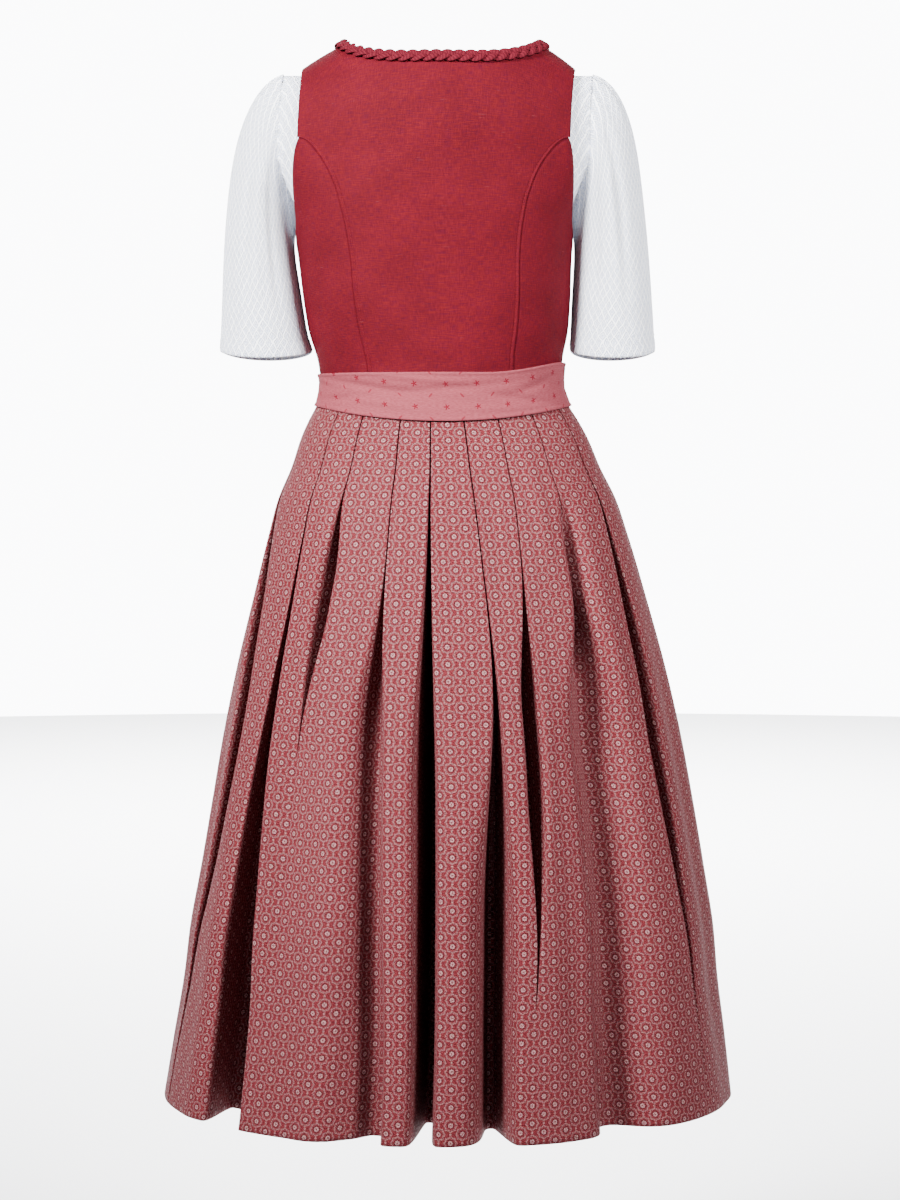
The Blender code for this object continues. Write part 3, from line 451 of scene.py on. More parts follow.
def joined(first, second, share):
    """One edge made of two, the first taking this share of the way."""
    def edge(part):
        early = first(np.clip(part / share, 0.0, 1.0))
        late = second(np.clip((part - share) / (1 - share), 0.0, 1.0))
        return np.where((part <= share)[..., None], early, late)
    return edge

print("the shoulder line is at climb", round(SHOULDER, 3))

# %% [markdown]
# ## Red linen
# The bodice is plain-woven linen. Linen yarn is uneven: some threads are thick, some are
# darker, and both show as short streaks along the warp and the weft. Two noises, each
# stretched along one thread direction, give that, and the same noises raise the
# threads. A third noise, far stretched and cut off high, leaves a few pale slubs. The
# real threads are half a millimetre apart, too fine to show here, so they are drawn
# twice as coarse.

# %% Linen material
LINEN_THREAD, SLUB_LENGTH = 0.0010, 0.007
RARE_SLUBS, RARE_START, RARE_FULL, RARE_SHARE = (70, 1300, 0), 0.75, 0.83, 0.45

def red_linen():
    """Matt plain-woven linen, with slubs in both thread directions."""
    made, tree, shader, metres = cloth_material("red_slub_linen", roughness=0.8, specular=0.06)
    threads = []
    for scale in ((1 / LINEN_THREAD, 1 / SLUB_LENGTH, 1), (1 / SLUB_LENGTH, 1 / LINEN_THREAD, 1)):
        threads.append(noise(tree, vector(tree, "MULTIPLY", metres, scale), detail=2.0))
    warp = ramp(tree, threads[0], ((0.34, "#41050F"), (0.50, "#4C0811"), (0.68, "#570C15")))
    weft = ramp(tree, threads[1], ((0.34, "#38051C"), (0.52, "#4A0813"), (0.70, "#5C0F11")))
    clouds = noise(tree, metres, detail=3.0, scale=22.0)
    worn = ramp(tree, clouds, ((0.30, "#E6E6E6"), (0.70, "#FFFFFF")))
    colour = blend(tree, 1.0, blend(tree, 0.5, warp, weft), worn, "MULTIPLY")
    rare = noise(tree, vector(tree, "MULTIPLY", metres, RARE_SLUBS), detail=1.0)
    slub = ranged(tree, rare, RARE_START, RARE_FULL, high=RARE_SHARE)
    colour = blend(tree, slub, colour, linear("#8A4348"))
    height = maths(tree, "ADD", *threads)
    surface(tree, shader, colour, height, strength=0.55, distance=0.0006)
    return made

RED_LINEN = red_linen()
print("material", RED_LINEN.name)

# %% [markdown]
# ## Bodice pieces
# The bodice has a middle back with both straps, two side backs, two side fronts and two
# fronts. The curved seams from the waist into the armholes, called princess seams, give
# the shape that darts would. Each piece is drawn flat between its four edges, then laid
# on the form. A seam shows as a turned edge: it rolls down at the very edge, swells over
# the seam allowance, and dips again where the row of stitches holds it.

# %% Bodice pattern
SEAM_GAP = 0.0001
ARM_ANGLE, ARM_TOP_ANGLE = 58.7, 60.5
ARM_BOTTOM_Z, ARM_JOIN_Z = -0.205, -0.090
PRINCESS_BACK_ANGLE, PRINCESS_FRONT_ANGLE = 36.6, 33.0
PRINCESS_BEND, PRINCESS_RISE, PRINCESS_DIP = 3.0, 1.5, 4.8
ARM_BEND, ARM_RISE = 1.2, 1.43
EVEN_ROWS = 0.76
NECK_ANGLE, NECK_SQUARENESS = 36.5, 0.8
BACK_NECK_CLIMB, FRONT_NECK_Z = ARCH_Z + 0.082, -0.128
CLOSURE_ANGLE, BODICE_RADIUS = 6.5, 0.12
ARM_SHARE, BACK_STRAP_SHARE, FRONT_STRAP_SHARE = 0.4, 0.16, 0.30
HALF_GAP = math.degrees(SEAM_GAP / 2 / BODICE_RADIUS)
WAIST_SEAM_Z, SHOULDER_SEAM = WAIST_Z + SEAM_GAP / 2, SHOULDER - SEAM_GAP / 2
SIDE_ANGLE = 90.0 - HALF_GAP

def princess(part, waist_angle):
    """The seam from the waist up into the armhole, as angle and height. The power keeps
    the rows of the pieces beside it from bunching at its upper end."""
    part = 1 - (1 - part) ** EVEN_ROWS
    angle = mix(waist_angle, ARM_ANGLE, part**PRINCESS_BEND)
    angle = angle - PRINCESS_DIP * np.sin(math.pi * part)
    return angle, mix(WAIST_SEAM_Z, ARM_JOIN_Z, 1 - (1 - part) ** PRINCESS_RISE)

def armhole_low(part):
    """The lower armhole, from the side seam to the princess seam."""
    angle = ARM_ANGLE + (90.0 - ARM_ANGLE) * (1 - part) ** ARM_BEND
    return angle, mix(ARM_BOTTOM_Z, ARM_JOIN_Z, part**ARM_RISE)

def armhole_high(part):
    """The upper armhole, from the princess seam to the shoulder."""
    return mix(ARM_ANGLE, ARM_TOP_ANGLE, part**2), mix(ARM_JOIN_Z, SHOULDER_SEAM, part)

def neckline(turn, angle, low):
    """A neckline from its low point, turn 0, to the shoulder, turn 1."""
    way = turn * math.pi / 2
    sine, cosine = np.sin(way) ** NECK_SQUARENESS, np.abs(np.cos(way)) ** NECK_SQUARENESS
    return angle * sine, SHOULDER_SEAM - (SHOULDER_SEAM - low) * cosine

def neck_turn(angle, neck_angle):
    """The turn at which a neckline passes this angle."""
    return math.asin((angle / neck_angle) ** (1 / NECK_SQUARENESS)) / (math.pi / 2)

print("princess seam leaves the waist at", PRINCESS_BACK_ANGLE, "degrees")

# %% Bodice relief
EDGE_SQUEEZE = 0.88
BODICE_THICK = 0.0016
RIDGE, GROOVE, ROLL = 0.0006, 0.0005, 0.0008
RIDGE_INSIDE, RIDGE_WIDE, GROOVE_WIDE, ROLL_WIDE = 0.0020, 0.0018, 0.0010, 0.0012
STITCH_INSIDE = 0.0040
UNDERLAP, UNDERLAP_DEEP, UNDERLAP_ENDS = 0.0030, 0.0016, 1.7

Crease = namedtuple("Crease", "across up turned long wide rise")
BODICE_CREASES = (
    Crease(0.050, -0.335, 10, 0.030, 0.006, -0.0010),
    Crease(-0.046, -0.340, -12, 0.034, 0.006, -0.0011),
    Crease(0.004, -0.328, 3, 0.044, 0.007, -0.0008),
    Crease(-0.070, -0.150, 62, 0.036, 0.008, -0.0009),
    Crease(0.074, -0.140, -58, 0.034, 0.008, -0.0009),
    Crease(0.020, -0.230, 84, 0.050, 0.012, -0.0006),
    Crease(-0.024, -0.265, -80, 0.046, 0.012, -0.0006),
    Crease(0.130, -0.280, 20, 0.030, 0.007, -0.0008),
    Crease(-0.132, -0.270, -18, 0.030, 0.007, -0.0008),
)

def dense(count):
    """Parts from 0 to 1, closer together at both ends."""
    part = even(count)
    return part - EDGE_SQUEEZE * np.sin(2 * math.pi * part) / (2 * math.pi)

def creased(table, across, up):
    """Soft ridges and troughs, each a long bump turned by its angle in degrees."""
    total = np.zeros(np.broadcast(across, up).shape)
    for one in table:
        turned = math.radians(one.turned)
        x, y = across - one.across, up - one.up
        along = x * math.cos(turned) + y * math.sin(turned)
        aside = y * math.cos(turned) - x * math.sin(turned)
        total = total + one.rise * bump(along, 0, one.long) * bump(aside, 0, one.wide)
    return total

def seam_relief(distance, ridge, groove, roll):
    """Height of the cloth beside an edge: rolled over, swollen, then held by stitches."""
    rolled = roll * (1 - ease(0.0, ROLL_WIDE, distance))
    swollen = ridge * bump(distance, RIDGE_INSIDE, RIDGE_WIDE)
    return swollen - rolled - groove * bump(distance, STITCH_INSIDE, GROOVE_WIDE)

def bodice_panel(name, flat, side, edges):
    """A bodice piece on the form. Edges holds how strongly its first column, last column
    and top row show as seams with a ridge. A first edge of None goes under its neighbour."""
    flat = flat * np.array([side, 1.0])
    angle, climb = flat[..., 0], flat[..., 1]
    base = on_torso(angle, climb)
    way, rise = lengths(base, 1), lengths(base, 0)
    height = np.minimum(climb, 2 * SHOULDER - climb)
    relief = creased(BODICE_CREASES, np.radians(angle) * BODICE_RADIUS, height)
    first, last, top = edges
    if first is None:
        relief = relief - UNDERLAP_DEEP * (1 - ease(UNDERLAP / 2, UNDERLAP_ENDS * UNDERLAP, way))
    else:
        relief = relief + seam_relief(way, RIDGE * first, GROOVE * first, ROLL)
    relief = relief + seam_relief(way[:, -1:] - way, RIDGE * last, GROOVE * last, ROLL)
    relief = relief + seam_relief(rise[-1:] - rise, RIDGE * top, GROOVE * top, ROLL)
    points = on_torso(angle, climb, -relief)
    grain = np.stack([np.radians(angle) * BODICE_RADIUS, climb], axis=-1)
    piece = cloth(f"{name}_cloth", points, RED_LINEN, BODICE_THICK, flat=grain)
    return sewn_in(piece, name)

print("bodice creases:", len(BODICE_CREASES))

# %% Middle back
PANEL_ROWS, BACK_COLUMNS = 100, 110
COLUMN_SETTLE, COLUMN_REACH = 0.45, 0.45
SEAM_FADES, SEAM_GONE = 0.56, 0.62

def mirrored(edge):
    """The same edge at the other side of the middle."""
    return lambda part: edge(part) * np.array([-1.0, 1.0])

def both_straps(part, strap, neck_angle, arm_angle, low):
    """A top edge from one armhole over its strap, round the neckline and to the other."""
    middle = np.abs(2 * part - 1)
    angle, climb = neckline(np.clip(middle / (1 - 2 * strap), 0, 1), neck_angle, low)
    on_strap = np.clip((middle - (1 - 2 * strap)) / (2 * strap), 0, 1)
    angle = np.where(on_strap > 0, mix(neck_angle, arm_angle, on_strap), angle)
    return np.sign(2 * part - 1) * angle, climb

def fading_seam():
    """How strongly a princess seam shows in each row. Past the armhole it is an edge."""
    return 1 - ease(SEAM_FADES, SEAM_GONE, even(PANEL_ROWS))[:, None]

def centre_back():
    """The middle of the back in one piece, with both shoulder straps."""
    def low_edge(part):
        angle, climb = princess(part, PRINCESS_BACK_ANGLE)
        return pair(angle - HALF_GAP, climb)

    def high_edge(part):
        return pair(*armhole_high(part))

    def bottom(part):
        angle = PRINCESS_BACK_ANGLE - HALF_GAP
        return pair(mix(-angle, angle, part), WAIST_SEAM_Z)

    def top(part):
        return pair(*both_straps(part, BACK_STRAP_SHARE, NECK_ANGLE, ARM_TOP_ANGLE,
                                 BACK_NECK_CLIMB))

    edge = joined(low_edge, high_edge, 1 - ARM_SHARE)
    flat = patch(mirrored(edge), edge, bottom, top, dense(BACK_COLUMNS), even(PANEL_ROWS),
                 COLUMN_SETTLE, COLUMN_REACH)
    return bodice_panel("bodice_back", flat, 1, (fading_seam(), fading_seam(), 0.0))

BODICE_BACK = centre_back()
print(BODICE_BACK.name, "spans", round(BODICE_BACK.dimensions.x, 3), "m")

# %% Side pieces
SIDE_ROWS, SIDE_COLUMNS, UNDER_POWER, SIDE_POWER = 70, 44, 24, 4
SIDE_EDGES = (None, 0.25, 0.5)

def side_panel(name, side, waist_angle, drawn):
    """A side-back or side-front piece, from under the princess seam to the side seam."""
    under = math.degrees(UNDERLAP / BODICE_RADIUS)

    def seam_edge(part):
        angle, height = princess(part, waist_angle)
        return pair(angle - under, drawn(height))

    def side_edge(part):
        return pair(SIDE_ANGLE, drawn(mix(WAIST_SEAM_Z, ARM_BOTTOM_Z, part)))

    def waist(part):
        return pair(mix(waist_angle - under, SIDE_ANGLE, part), drawn(WAIST_SEAM_Z))

    def arm(part):
        angle, height = armhole_low(1 - part)
        angle = angle - under * (1 - part) ** UNDER_POWER
        return pair(mix(angle, SIDE_ANGLE, part**SIDE_POWER), drawn(height))

    flat = patch(seam_edge, side_edge, waist, arm, dense(SIDE_COLUMNS), even(SIDE_ROWS))
    return bodice_panel(name, flat, side, SIDE_EDGES)

for side, hand in HANDS:
    side_panel(f"bodice_side_back_{hand}", side, PRINCESS_BACK_ANGLE, up_back)
    side_panel(f"bodice_side_front_{hand}", side, PRINCESS_FRONT_ANGLE, down_front)

# %% [markdown]
# ## Columns that cannot cross
# The round neckline bites so far into a front that columns drawn between its edges would
# cross. So the inner points are let go: each moves, again and again, to where the grid
# around it is in balance, as a soap film does. The columns are spread unevenly only
# after that, so that they still crowd at the seams.

# %% Fronts
BALANCE_TURNS, FRONT_COLUMNS, CLOSURE_SHOWS = 500, 60, 0.8

def balanced(flat, across):
    """A pattern piece with its inner points moved until no cells cross, and its columns
    then read off at these parts of its width."""
    size = np.array([math.radians(BODICE_RADIUS), 1.0])
    p = flat * size
    for _ in range(BALANCE_TURNS):
        along, up = (p[1:-1, 2:] - p[1:-1, :-2]) / 2, (p[2:, 1:-1] - p[:-2, 1:-1]) / 2
        wide, tall, skew = ((one * other).sum(-1, keepdims=True)
                            for one, other in ((along, along), (up, up), (along, up)))
        cross = p[2:, 2:] - p[2:, :-2] - p[:-2, 2:] + p[:-2, :-2]
        around = tall * (p[1:-1, 2:] + p[1:-1, :-2]) + wide * (p[2:, 1:-1] + p[:-2, 1:-1])
        p[1:-1, 1:-1] = (around - skew * cross / 2) / (2 * (wide + tall))
    place = across * (flat.shape[1] - 1)
    first = np.minimum(place.astype(int), flat.shape[1] - 2)
    return mix(p[:, first], p[:, first + 1], (place - first)[None, :, None]) / size

def front_panel(name, side):
    """A front, from the closure to the princess seam, with half the neckline. The right
    front reaches past the middle and laps the left."""
    lap = side * CLOSURE_ANGLE
    strap = FRONT_STRAP_SHARE
    neck_start = side * neck_turn(abs(lap), NECK_ANGLE)

    def neck(turn):
        angle, climb = neckline(np.abs(turn), NECK_ANGLE, FRONT_NECK_Z)
        return np.sign(turn) * angle, down_front(climb)

    def closure(part):
        height = mix(WAIST_SEAM_Z, FRONT_NECK_Z, part)
        end = neck(np.array(neck_start))[1] - down_front(FRONT_NECK_Z)
        return pair(lap + HALF_GAP, down_front(height) + end * part)

    def low_edge(part):
        angle, height = princess(part, PRINCESS_FRONT_ANGLE)
        return pair(angle - HALF_GAP, down_front(height))

    def high_edge(part):
        angle, height = armhole_high(part)
        return pair(angle, down_front(height))

    def waist(part):
        angle = mix(lap + HALF_GAP, PRINCESS_FRONT_ANGLE - HALF_GAP, part)
        return pair(angle, down_front(WAIST_SEAM_Z))

    def top(part):
        turn = mix(neck_start, 1.0, np.clip(part / (1 - strap), 0, 1))
        on_strap = np.clip((part - (1 - strap)) / strap, 0, 1)
        angle, climb = neck(turn)
        angle = np.where(part == 0, lap + HALF_GAP, angle)
        angle = np.where(on_strap > 0, mix(NECK_ANGLE, ARM_TOP_ANGLE, on_strap), angle)
        return pair(angle, climb)

    edge = joined(low_edge, high_edge, 1 - ARM_SHARE)
    flat = patch(closure, edge, waist, top, even(FRONT_COLUMNS), even(PANEL_ROWS))
    flat = balanced(flat, dense(FRONT_COLUMNS))
    return bodice_panel(name, flat, side, (CLOSURE_SHOWS, fading_seam(), 0.0))

front_panel("bodice_front_left", 1)
front_panel("bodice_front_right", -1)

# %% [markdown]
# ## The plaited trim
# Three flat strands are plaited round the neckline. Seen from above, a strand swings
# from side to side once in every repeat, and it climbs over its neighbours twice. So its
# place across the trim is one cosine, its height is a sine of twice the speed, and the
# three strands are a third of a repeat apart. The yarn runs along each strand.

# %% Lines beside the neckline
NUDGE_ANGLE, NUDGE_CLIMB, SEARCH_TURNS = 0.05, 0.0002, 3
NECK_STEPS = (80, 161, 100)

def frame_on_torso(angle, climb, inset):
    """Places and outward normals of points of the form, with its two slopes there."""
    right = on_torso(angle + NUDGE_ANGLE, climb, inset)
    left = on_torso(angle - NUDGE_ANGLE, climb, inset)
    above = on_torso(angle, climb + NUDGE_CLIMB, inset)
    below = on_torso(angle, climb - NUDGE_CLIMB, inset)
    by_angle, by_climb = (right - left) / (2 * NUDGE_ANGLE), (above - below) / (2 * NUDGE_CLIMB)
    return on_torso(angle, climb, inset), unit(np.cross(by_climb, by_angle)), by_angle, by_climb

def way_along(points):
    """Distance along a line of points, from its first one."""
    steps = np.linalg.norm(np.diff(points, axis=0), axis=1)
    return np.concatenate([[0], np.cumsum(steps)])

def neck_loop(angle, back_low, front_low, start, end, stations):
    """Evenly spaced points of a neckline, from the closure round the back and home."""
    front_start, front_end = (math.copysign(neck_turn(abs(a), angle), a) for a in (start, end))
    turns = (
        (np.linspace(front_start, 1.0, NECK_STEPS[0]), True),
        (np.linspace(1.0, -1.0, NECK_STEPS[1])[1:-1], False),
        (np.linspace(-1.0, front_end, NECK_STEPS[2]), True),
    )
    line = []
    for turn, front in turns:
        around, climb = neckline(np.abs(turn), angle, front_low if front else back_low)
        climb = down_front(climb) if front else climb
        line.append(np.stack([np.sign(turn) * around, climb], axis=-1))
    line = np.concatenate(line)
    way = way_along(on_torso(line[:, 0], line[:, 1]))
    at = np.linspace(0, way[-1], stations)
    return np.interp(at, way, line[:, 0]), np.interp(at, way, line[:, 1]), way[-1]

def beside_neck(angle, climb, inset, across, lift):
    """Points moved across the cloth away from a line on the form and then off the cloth,
    with the form's normals there."""
    here, normal, _, _ = frame_on_torso(angle, climb, inset)
    along = unit(np.gradient(here, axis=0))
    target = here + np.cross(along, normal) * across
    moved = np.stack([angle, climb], axis=-1)
    for _ in range(SEARCH_TURNS):
        now, _, by_angle, by_climb = frame_on_torso(moved[:, 0], moved[:, 1], inset)
        slope = np.stack([by_angle, by_climb], axis=-1)
        error = (target - now)[..., None]
        turned = np.swapaxes(slope, 1, 2)
        moved = moved + np.linalg.solve(turned @ slope, turned @ error)[..., 0]
    now, normal, _, _ = frame_on_torso(moved[:, 0], moved[:, 1], inset)
    return now + normal * lift, normal

def round_line(points, normal, half_wide, half_high, sides):
    """Rings of an oval section along a line that lies on the cloth."""
    aside = np.cross(normal, unit(np.gradient(points, axis=0)))
    turn = np.linspace(0, 2 * math.pi, sides + 1)[None, :, None]
    wide, high = half_wide * np.cos(turn), half_high * np.sin(turn)
    ring = points[:, None] + aside[:, None] * wide + normal[:, None] * high
    ring[:, -1] = ring[:, 0]
    return ring

print("neckline helpers ready")

# %% Braid
BRAID_WIDTH, BRAID_REPEAT = 0.014, 0.036
STRAND_SWING, STRAND_HALF_WIDE, STRAND_HALF_HIGH = 0.0040, 0.0036, 0.0014
STRAND_MIDDLE_LIFT, STRAND_CLIMB, BRAID_SHIFT = 0.0026, 0.0014, 0.0012
SWING_CORNER, STATIONS_PER_REPEAT, STRAND_SIDES = 0.11, 22, 10
YARN_TWIST, YARN_SLANT, FIBRE_SCALE, FIBRE_SHARE = 0.0016, 24, 900.0, 0.45
STRANDS, CLOSURE_GAP = 3, 0.4

def braid_wool():
    """Matt red braid whose yarn shows as fine cords along each strand."""
    made, tree, shader, metres = cloth_material("red_braid_yarn", roughness=0.8, specular=0.06)
    slanted = add(tree, "Mapping", {0: metres, "Rotation": (0, 0, math.radians(YARN_SLANT))})
    cords = bands(tree, slanted, YARN_TWIST, distortion=0.6, detail=1.0, direction="X")
    specks = noise(tree, metres, detail=2.0, scale=FIBRE_SCALE)
    mixed = blend(tree, FIBRE_SHARE, cords, specks)
    colour = ramp(tree, mixed, ((0.18, "#3B0813"), (0.5, "#470C16"), (0.8, "#53131D")))
    surface(tree, shader, colour, cords, strength=0.2, distance=0.0003)
    return made

BRAID_YARN = braid_wool()
NECK = (NECK_ANGLE, BACK_NECK_CLIMB, FRONT_NECK_Z, CLOSURE_ANGLE + CLOSURE_GAP,
        CLOSURE_ANGLE - CLOSURE_GAP)
neck_length = neck_loop(*NECK, 3)[2]
repeats = round(neck_length / BRAID_REPEAT)
stations = repeats * STATIONS_PER_REPEAT + 1
neck_angle, neck_climb, _ = neck_loop(*NECK, stations)
for strand in range(STRANDS):
    phase = 2 * math.pi * (np.arange(stations) / (stations - 1) * repeats + strand / STRANDS)
    swing = np.cos(phase) + SWING_CORNER * np.cos(3 * phase)
    across = (BRAID_WIDTH / 2 + BRAID_SHIFT + STRAND_SWING * swing)[:, None]
    lift = (STRAND_MIDDLE_LIFT + STRAND_CLIMB * np.sin(2 * phase))[:, None]
    line, normal = beside_neck(neck_angle, neck_climb, 0.0, across, lift)
    rings = round_line(line, normal, STRAND_HALF_WIDE, STRAND_HALF_HIGH, STRAND_SIDES)
    piece = cloth(f"neck_braid_strand_{strand + 1}", rings, BRAID_YARN, 0.0,
                  centre=own_axis, closed=True)
    stands_for(piece, "neck_braid")
print(f"braid: {neck_length:.3f} m round the neck, {repeats} repeats")

# %% [markdown]
# ## Stitches
# A stitch is a short length of thread that comes up through the cloth and goes down
# again, so it is drawn as a small bent capsule. All the stitches of a row are copies of
# one capsule, laid out by arrays of places and directions and kept in one mesh.

# %% Stitch rows
STITCH_PITCH, STITCH_LONG, THREAD_RADIUS = 0.0034, 0.0025, 0.00022
CAPSULE_STATIONS, CAPSULE_SIDES = 5, 6
CAPSULE_BLUNT, STITCH_RISE, STITCH_BEND = 1.02, 0.9, 1.3

def thread_material(name, colour):
    """Smooth twisted sewing thread."""
    made, tree, shader = new_material(name, Roughness=0.8, Specular_IOR_Level=0.1)
    shader.inputs["Base Color"].default_value = linear(colour)
    return made

RED_THREAD = thread_material("red_thread", "#5A1018")
WHITE_THREAD = thread_material("white_thread", "#D9DAE2")
ROSE_THREAD = thread_material("rose_thread", "#A05058")

def spaced(points, pitch):
    """The points of a line at an even pitch."""
    way = way_along(points)
    at = np.arange(pitch / 2, way[-1], pitch)
    return np.stack([np.interp(at, way, points[:, i]) for i in range(3)], axis=-1)

def stitch_row(name, lines, material, pitch=STITCH_PITCH, long=STITCH_LONG,
               radius=THREAD_RADIUS):
    """One mesh of stitches. Each line is its points and its outward directions."""
    place, along, normal = [], [], []
    for points, out in lines:
        spots = spaced(points, pitch)
        place.append(spots)
        along.append(np.gradient(spots, axis=0))
        nearest = np.linalg.norm(points[None] - spots[:, None], axis=-1).argmin(axis=1)
        normal.append(out[nearest])
    place, along, normal = (np.concatenate(part) for part in (place, along, normal))
    along = unit(along)
    aside = np.cross(along, normal)
    part = np.linspace(-1, 1, CAPSULE_STATIONS)[:, None]
    turn = np.arange(CAPSULE_SIDES)[None, :] / CAPSULE_SIDES * 2 * math.pi
    thin = radius * np.sqrt(CAPSULE_BLUNT - part**2)
    arch = radius * (STITCH_RISE - STITCH_BEND * part**2)
    forward = part * long / 2 + 0 * turn
    sideways, upwards = thin * np.cos(turn), thin * np.sin(turn) + arch
    verts = place[:, None, None]
    for size, way in ((forward, along), (sideways, aside), (upwards, normal)):
        verts = verts + size[None, ..., None] * way[:, None, None]
    count = CAPSULE_STATIONS * CAPSULE_SIDES
    faces = []
    for i in range(CAPSULE_STATIONS - 1):
        for j in range(CAPSULE_SIDES):
            k = (j + 1) % CAPSULE_SIDES
            low, high = i * CAPSULE_SIDES, (i + 1) * CAPSULE_SIDES
            faces.append((low + j, high + j, high + k, low + k))
    faces = np.array(faces)[None] + np.arange(len(place))[:, None, None] * count
    mesh = bpy.data.meshes.new(name)
    mesh.from_pydata(verts.reshape(-1, 3).tolist(), [], faces.reshape(-1, 4).tolist())
    mesh.shade_smooth()
    mesh.materials.append(material)
    row = bpy.data.objects.new(name, mesh)
    bpy.context.scene.collection.objects.link(row)
    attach(row, "root")
    print(f"{name}: {len(place)} stitches")
    return row

def on_form_line(angle, climb, lift):
    """A line on the form, lifted off it, with its outward directions."""
    here, normal, _, _ = frame_on_torso(angle, climb, 0.0)
    return here + normal * lift, normal

# %% Bodice stitches
STITCH_SUNK, ABOVE_WAIST, BELOW_NECK = 0.00035, 0.004, 0.016
SEAM_START, SEAM_STEPS, CLOSURE_STEPS = 0.01, 120, 80
inside = math.degrees(STITCH_INSIDE / BODICE_RADIUS)
seam_lines = []
part = np.linspace(SEAM_START, 1.0, SEAM_STEPS)
for waist_angle, drawn in ((PRINCESS_BACK_ANGLE, up_back), (PRINCESS_FRONT_ANGLE, down_front)):
    angle, height = princess(part, waist_angle)
    for side, _ in HANDS:
        seam_lines.append(on_form_line(side * (angle - inside), drawn(height), -STITCH_SUNK))
height = np.linspace(WAIST_Z + ABOVE_WAIST, FRONT_NECK_Z - BELOW_NECK, CLOSURE_STEPS)
closure = np.full(CLOSURE_STEPS, CLOSURE_ANGLE - inside)
seam_lines.append(on_form_line(closure, down_front(height), -STITCH_SUNK))
stitch_row("bodice_stitches", seam_lines, RED_THREAD)

# %% [markdown]
# ## Buttons
# Six small horn buttons close the front. Each is a round face drawn as height against
# radius: a rim, a dished middle and four holes, with a cross of thread. A line of
# close stitches beside each one is its buttonhole.

# %% Buttons
BUTTON_COUNT, BUTTON_RADIUS, BUTTON_HIGH = 6, 0.0060, 0.0030
BUTTON_TOP_Z, BUTTON_BOTTOM_Z = -0.152, -0.314
HOLE_RADIUS, HOLE_AWAY, HOLE_DEEP = 0.0006, 0.0013, 0.0011
BUTTONHOLE_LONG, BUTTON_TURNS, HOLE_ANGLES = 0.0045, 41, (45, 135, 225, 315)
DISH, RIM_AT, RIM_WIDE, EDGE_SHARES = 0.72, 0.82, 0.16, (0.62, 0.25, 0.0)
CROSS_REACH, CROSS_HEIGHT = 0.75, 0.74

def horn():
    """Polished dark red horn, faintly streaked."""
    made, tree, shader = new_material("horn_button", Roughness=0.28, Coat_Weight=0.3)
    where = add(tree, "TexCoord").outputs["Object"]
    streaks = noise(tree, where, detail=2.0, scale=260.0)
    colour = ramp(tree, streaks, ((0.35, "#40080E"), (0.65, "#5E141E")))
    tree.links.new(colour.outputs[0], shader.inputs["Base Color"])
    return made

HORN = horn()
FACE_PARTS = np.array([0.02, 0.1, 0.17, 0.23, 0.29, 0.35, 0.42, 0.5, 0.6, 0.7, 0.78, 0.86, 0.93,
                       0.98, 1.0, 1.0, 0.97])

def button_face():
    """Rings of radius, height for a button, with four holes."""
    radius = FACE_PARTS[:, None] * BUTTON_RADIUS
    turn = np.linspace(0, 2 * math.pi, BUTTON_TURNS)[None, :]
    x, y = radius * np.cos(turn), radius * np.sin(turn)
    high = BUTTON_HIGH * mix(DISH, 1.0, bump(FACE_PARTS, RIM_AT, RIM_WIDE))[:, None] + 0 * turn
    for a in HOLE_ANGLES:
        hx, hy = HOLE_AWAY * math.cos(math.radians(a)), HOLE_AWAY * math.sin(math.radians(a))
        high = high - HOLE_DEEP * (np.hypot(x - hx, y - hy) < HOLE_RADIUS)
    high[-3:] = np.array(EDGE_SHARES)[:, None] * BUTTON_HIGH
    return np.stack([x, y, high], axis=-1)

BUTTON_LIFT, HOLE_POINTS, HOLE_HALF_WIDE = 0.0006, 12, 0.0006
thread_lines, hole_lines = [], []
for index in range(BUTTON_COUNT):
    height = mix(BUTTON_TOP_Z, BUTTON_BOTTOM_Z, index / (BUTTON_COUNT - 1))
    place, normal, _, _ = frame_on_torso(np.array([0.0]), down_front(np.array([height])), 0.0)
    place, normal = place[0] + normal[0] * BUTTON_LIFT, normal[0]
    across = np.array([1.0, 0.0, 0.0])
    up = np.cross(normal, across)
    local = button_face()
    points = place + local[..., :1] * across + local[..., 1:2] * up + local[..., 2:] * normal
    face = cloth(f"button_{index + 1}_face", points, HORN, 0.0, closed=True,
                 centre=lambda p, at=place: at + 0 * p)
    stands_for(face, f"button_{index + 1}")
    for side, _ in HANDS:
        ends = np.array([[-1.0, side * 1.0], [1.0, side * -1.0]]) * HOLE_AWAY * CROSS_REACH
        lift = normal * CROSS_HEIGHT * BUTTON_HIGH
        line = place + ends[:, :1] * across + ends[:, 1:] * up + lift
        thread_lines.append((line, np.stack([normal, normal])))
        slot = np.linspace(BUTTON_RADIUS * 0.5, BUTTON_RADIUS + BUTTONHOLE_LONG, HOLE_POINTS)
        line = place + slot[:, None] * across + side * HOLE_HALF_WIDE * up
        hole_lines.append((line, np.repeat(normal[None], HOLE_POINTS, axis=0)))
stitch_row("button_threads", thread_lines, RED_THREAD, pitch=0.0012, long=0.0016)
stitch_row("buttonholes", hole_lines, RED_THREAD, pitch=0.0006, long=0.0010)

# %% [markdown]
# ## The skirt's outline and pleats
# The skirt is two breadths of cloth set into deep, uneven pleats. Where a pleat is
# pressed shut, only a slit shows; further down it opens into a valley. Each pleat is one
# row of a table: its angle at three heights, how deep and wide it opens, where along the
# skirt it opens and shuts again, how steep its sides are and how far it leans. A row that
# ends early stays open down to the hem and goes straight in. A valley on the garment's
# side that leans goes in along the line of sight, tucked under its neighbour like a real
# knife pleat, so no lamp looks into it. The cloth is the outline moved in by the sum of
# the valleys.

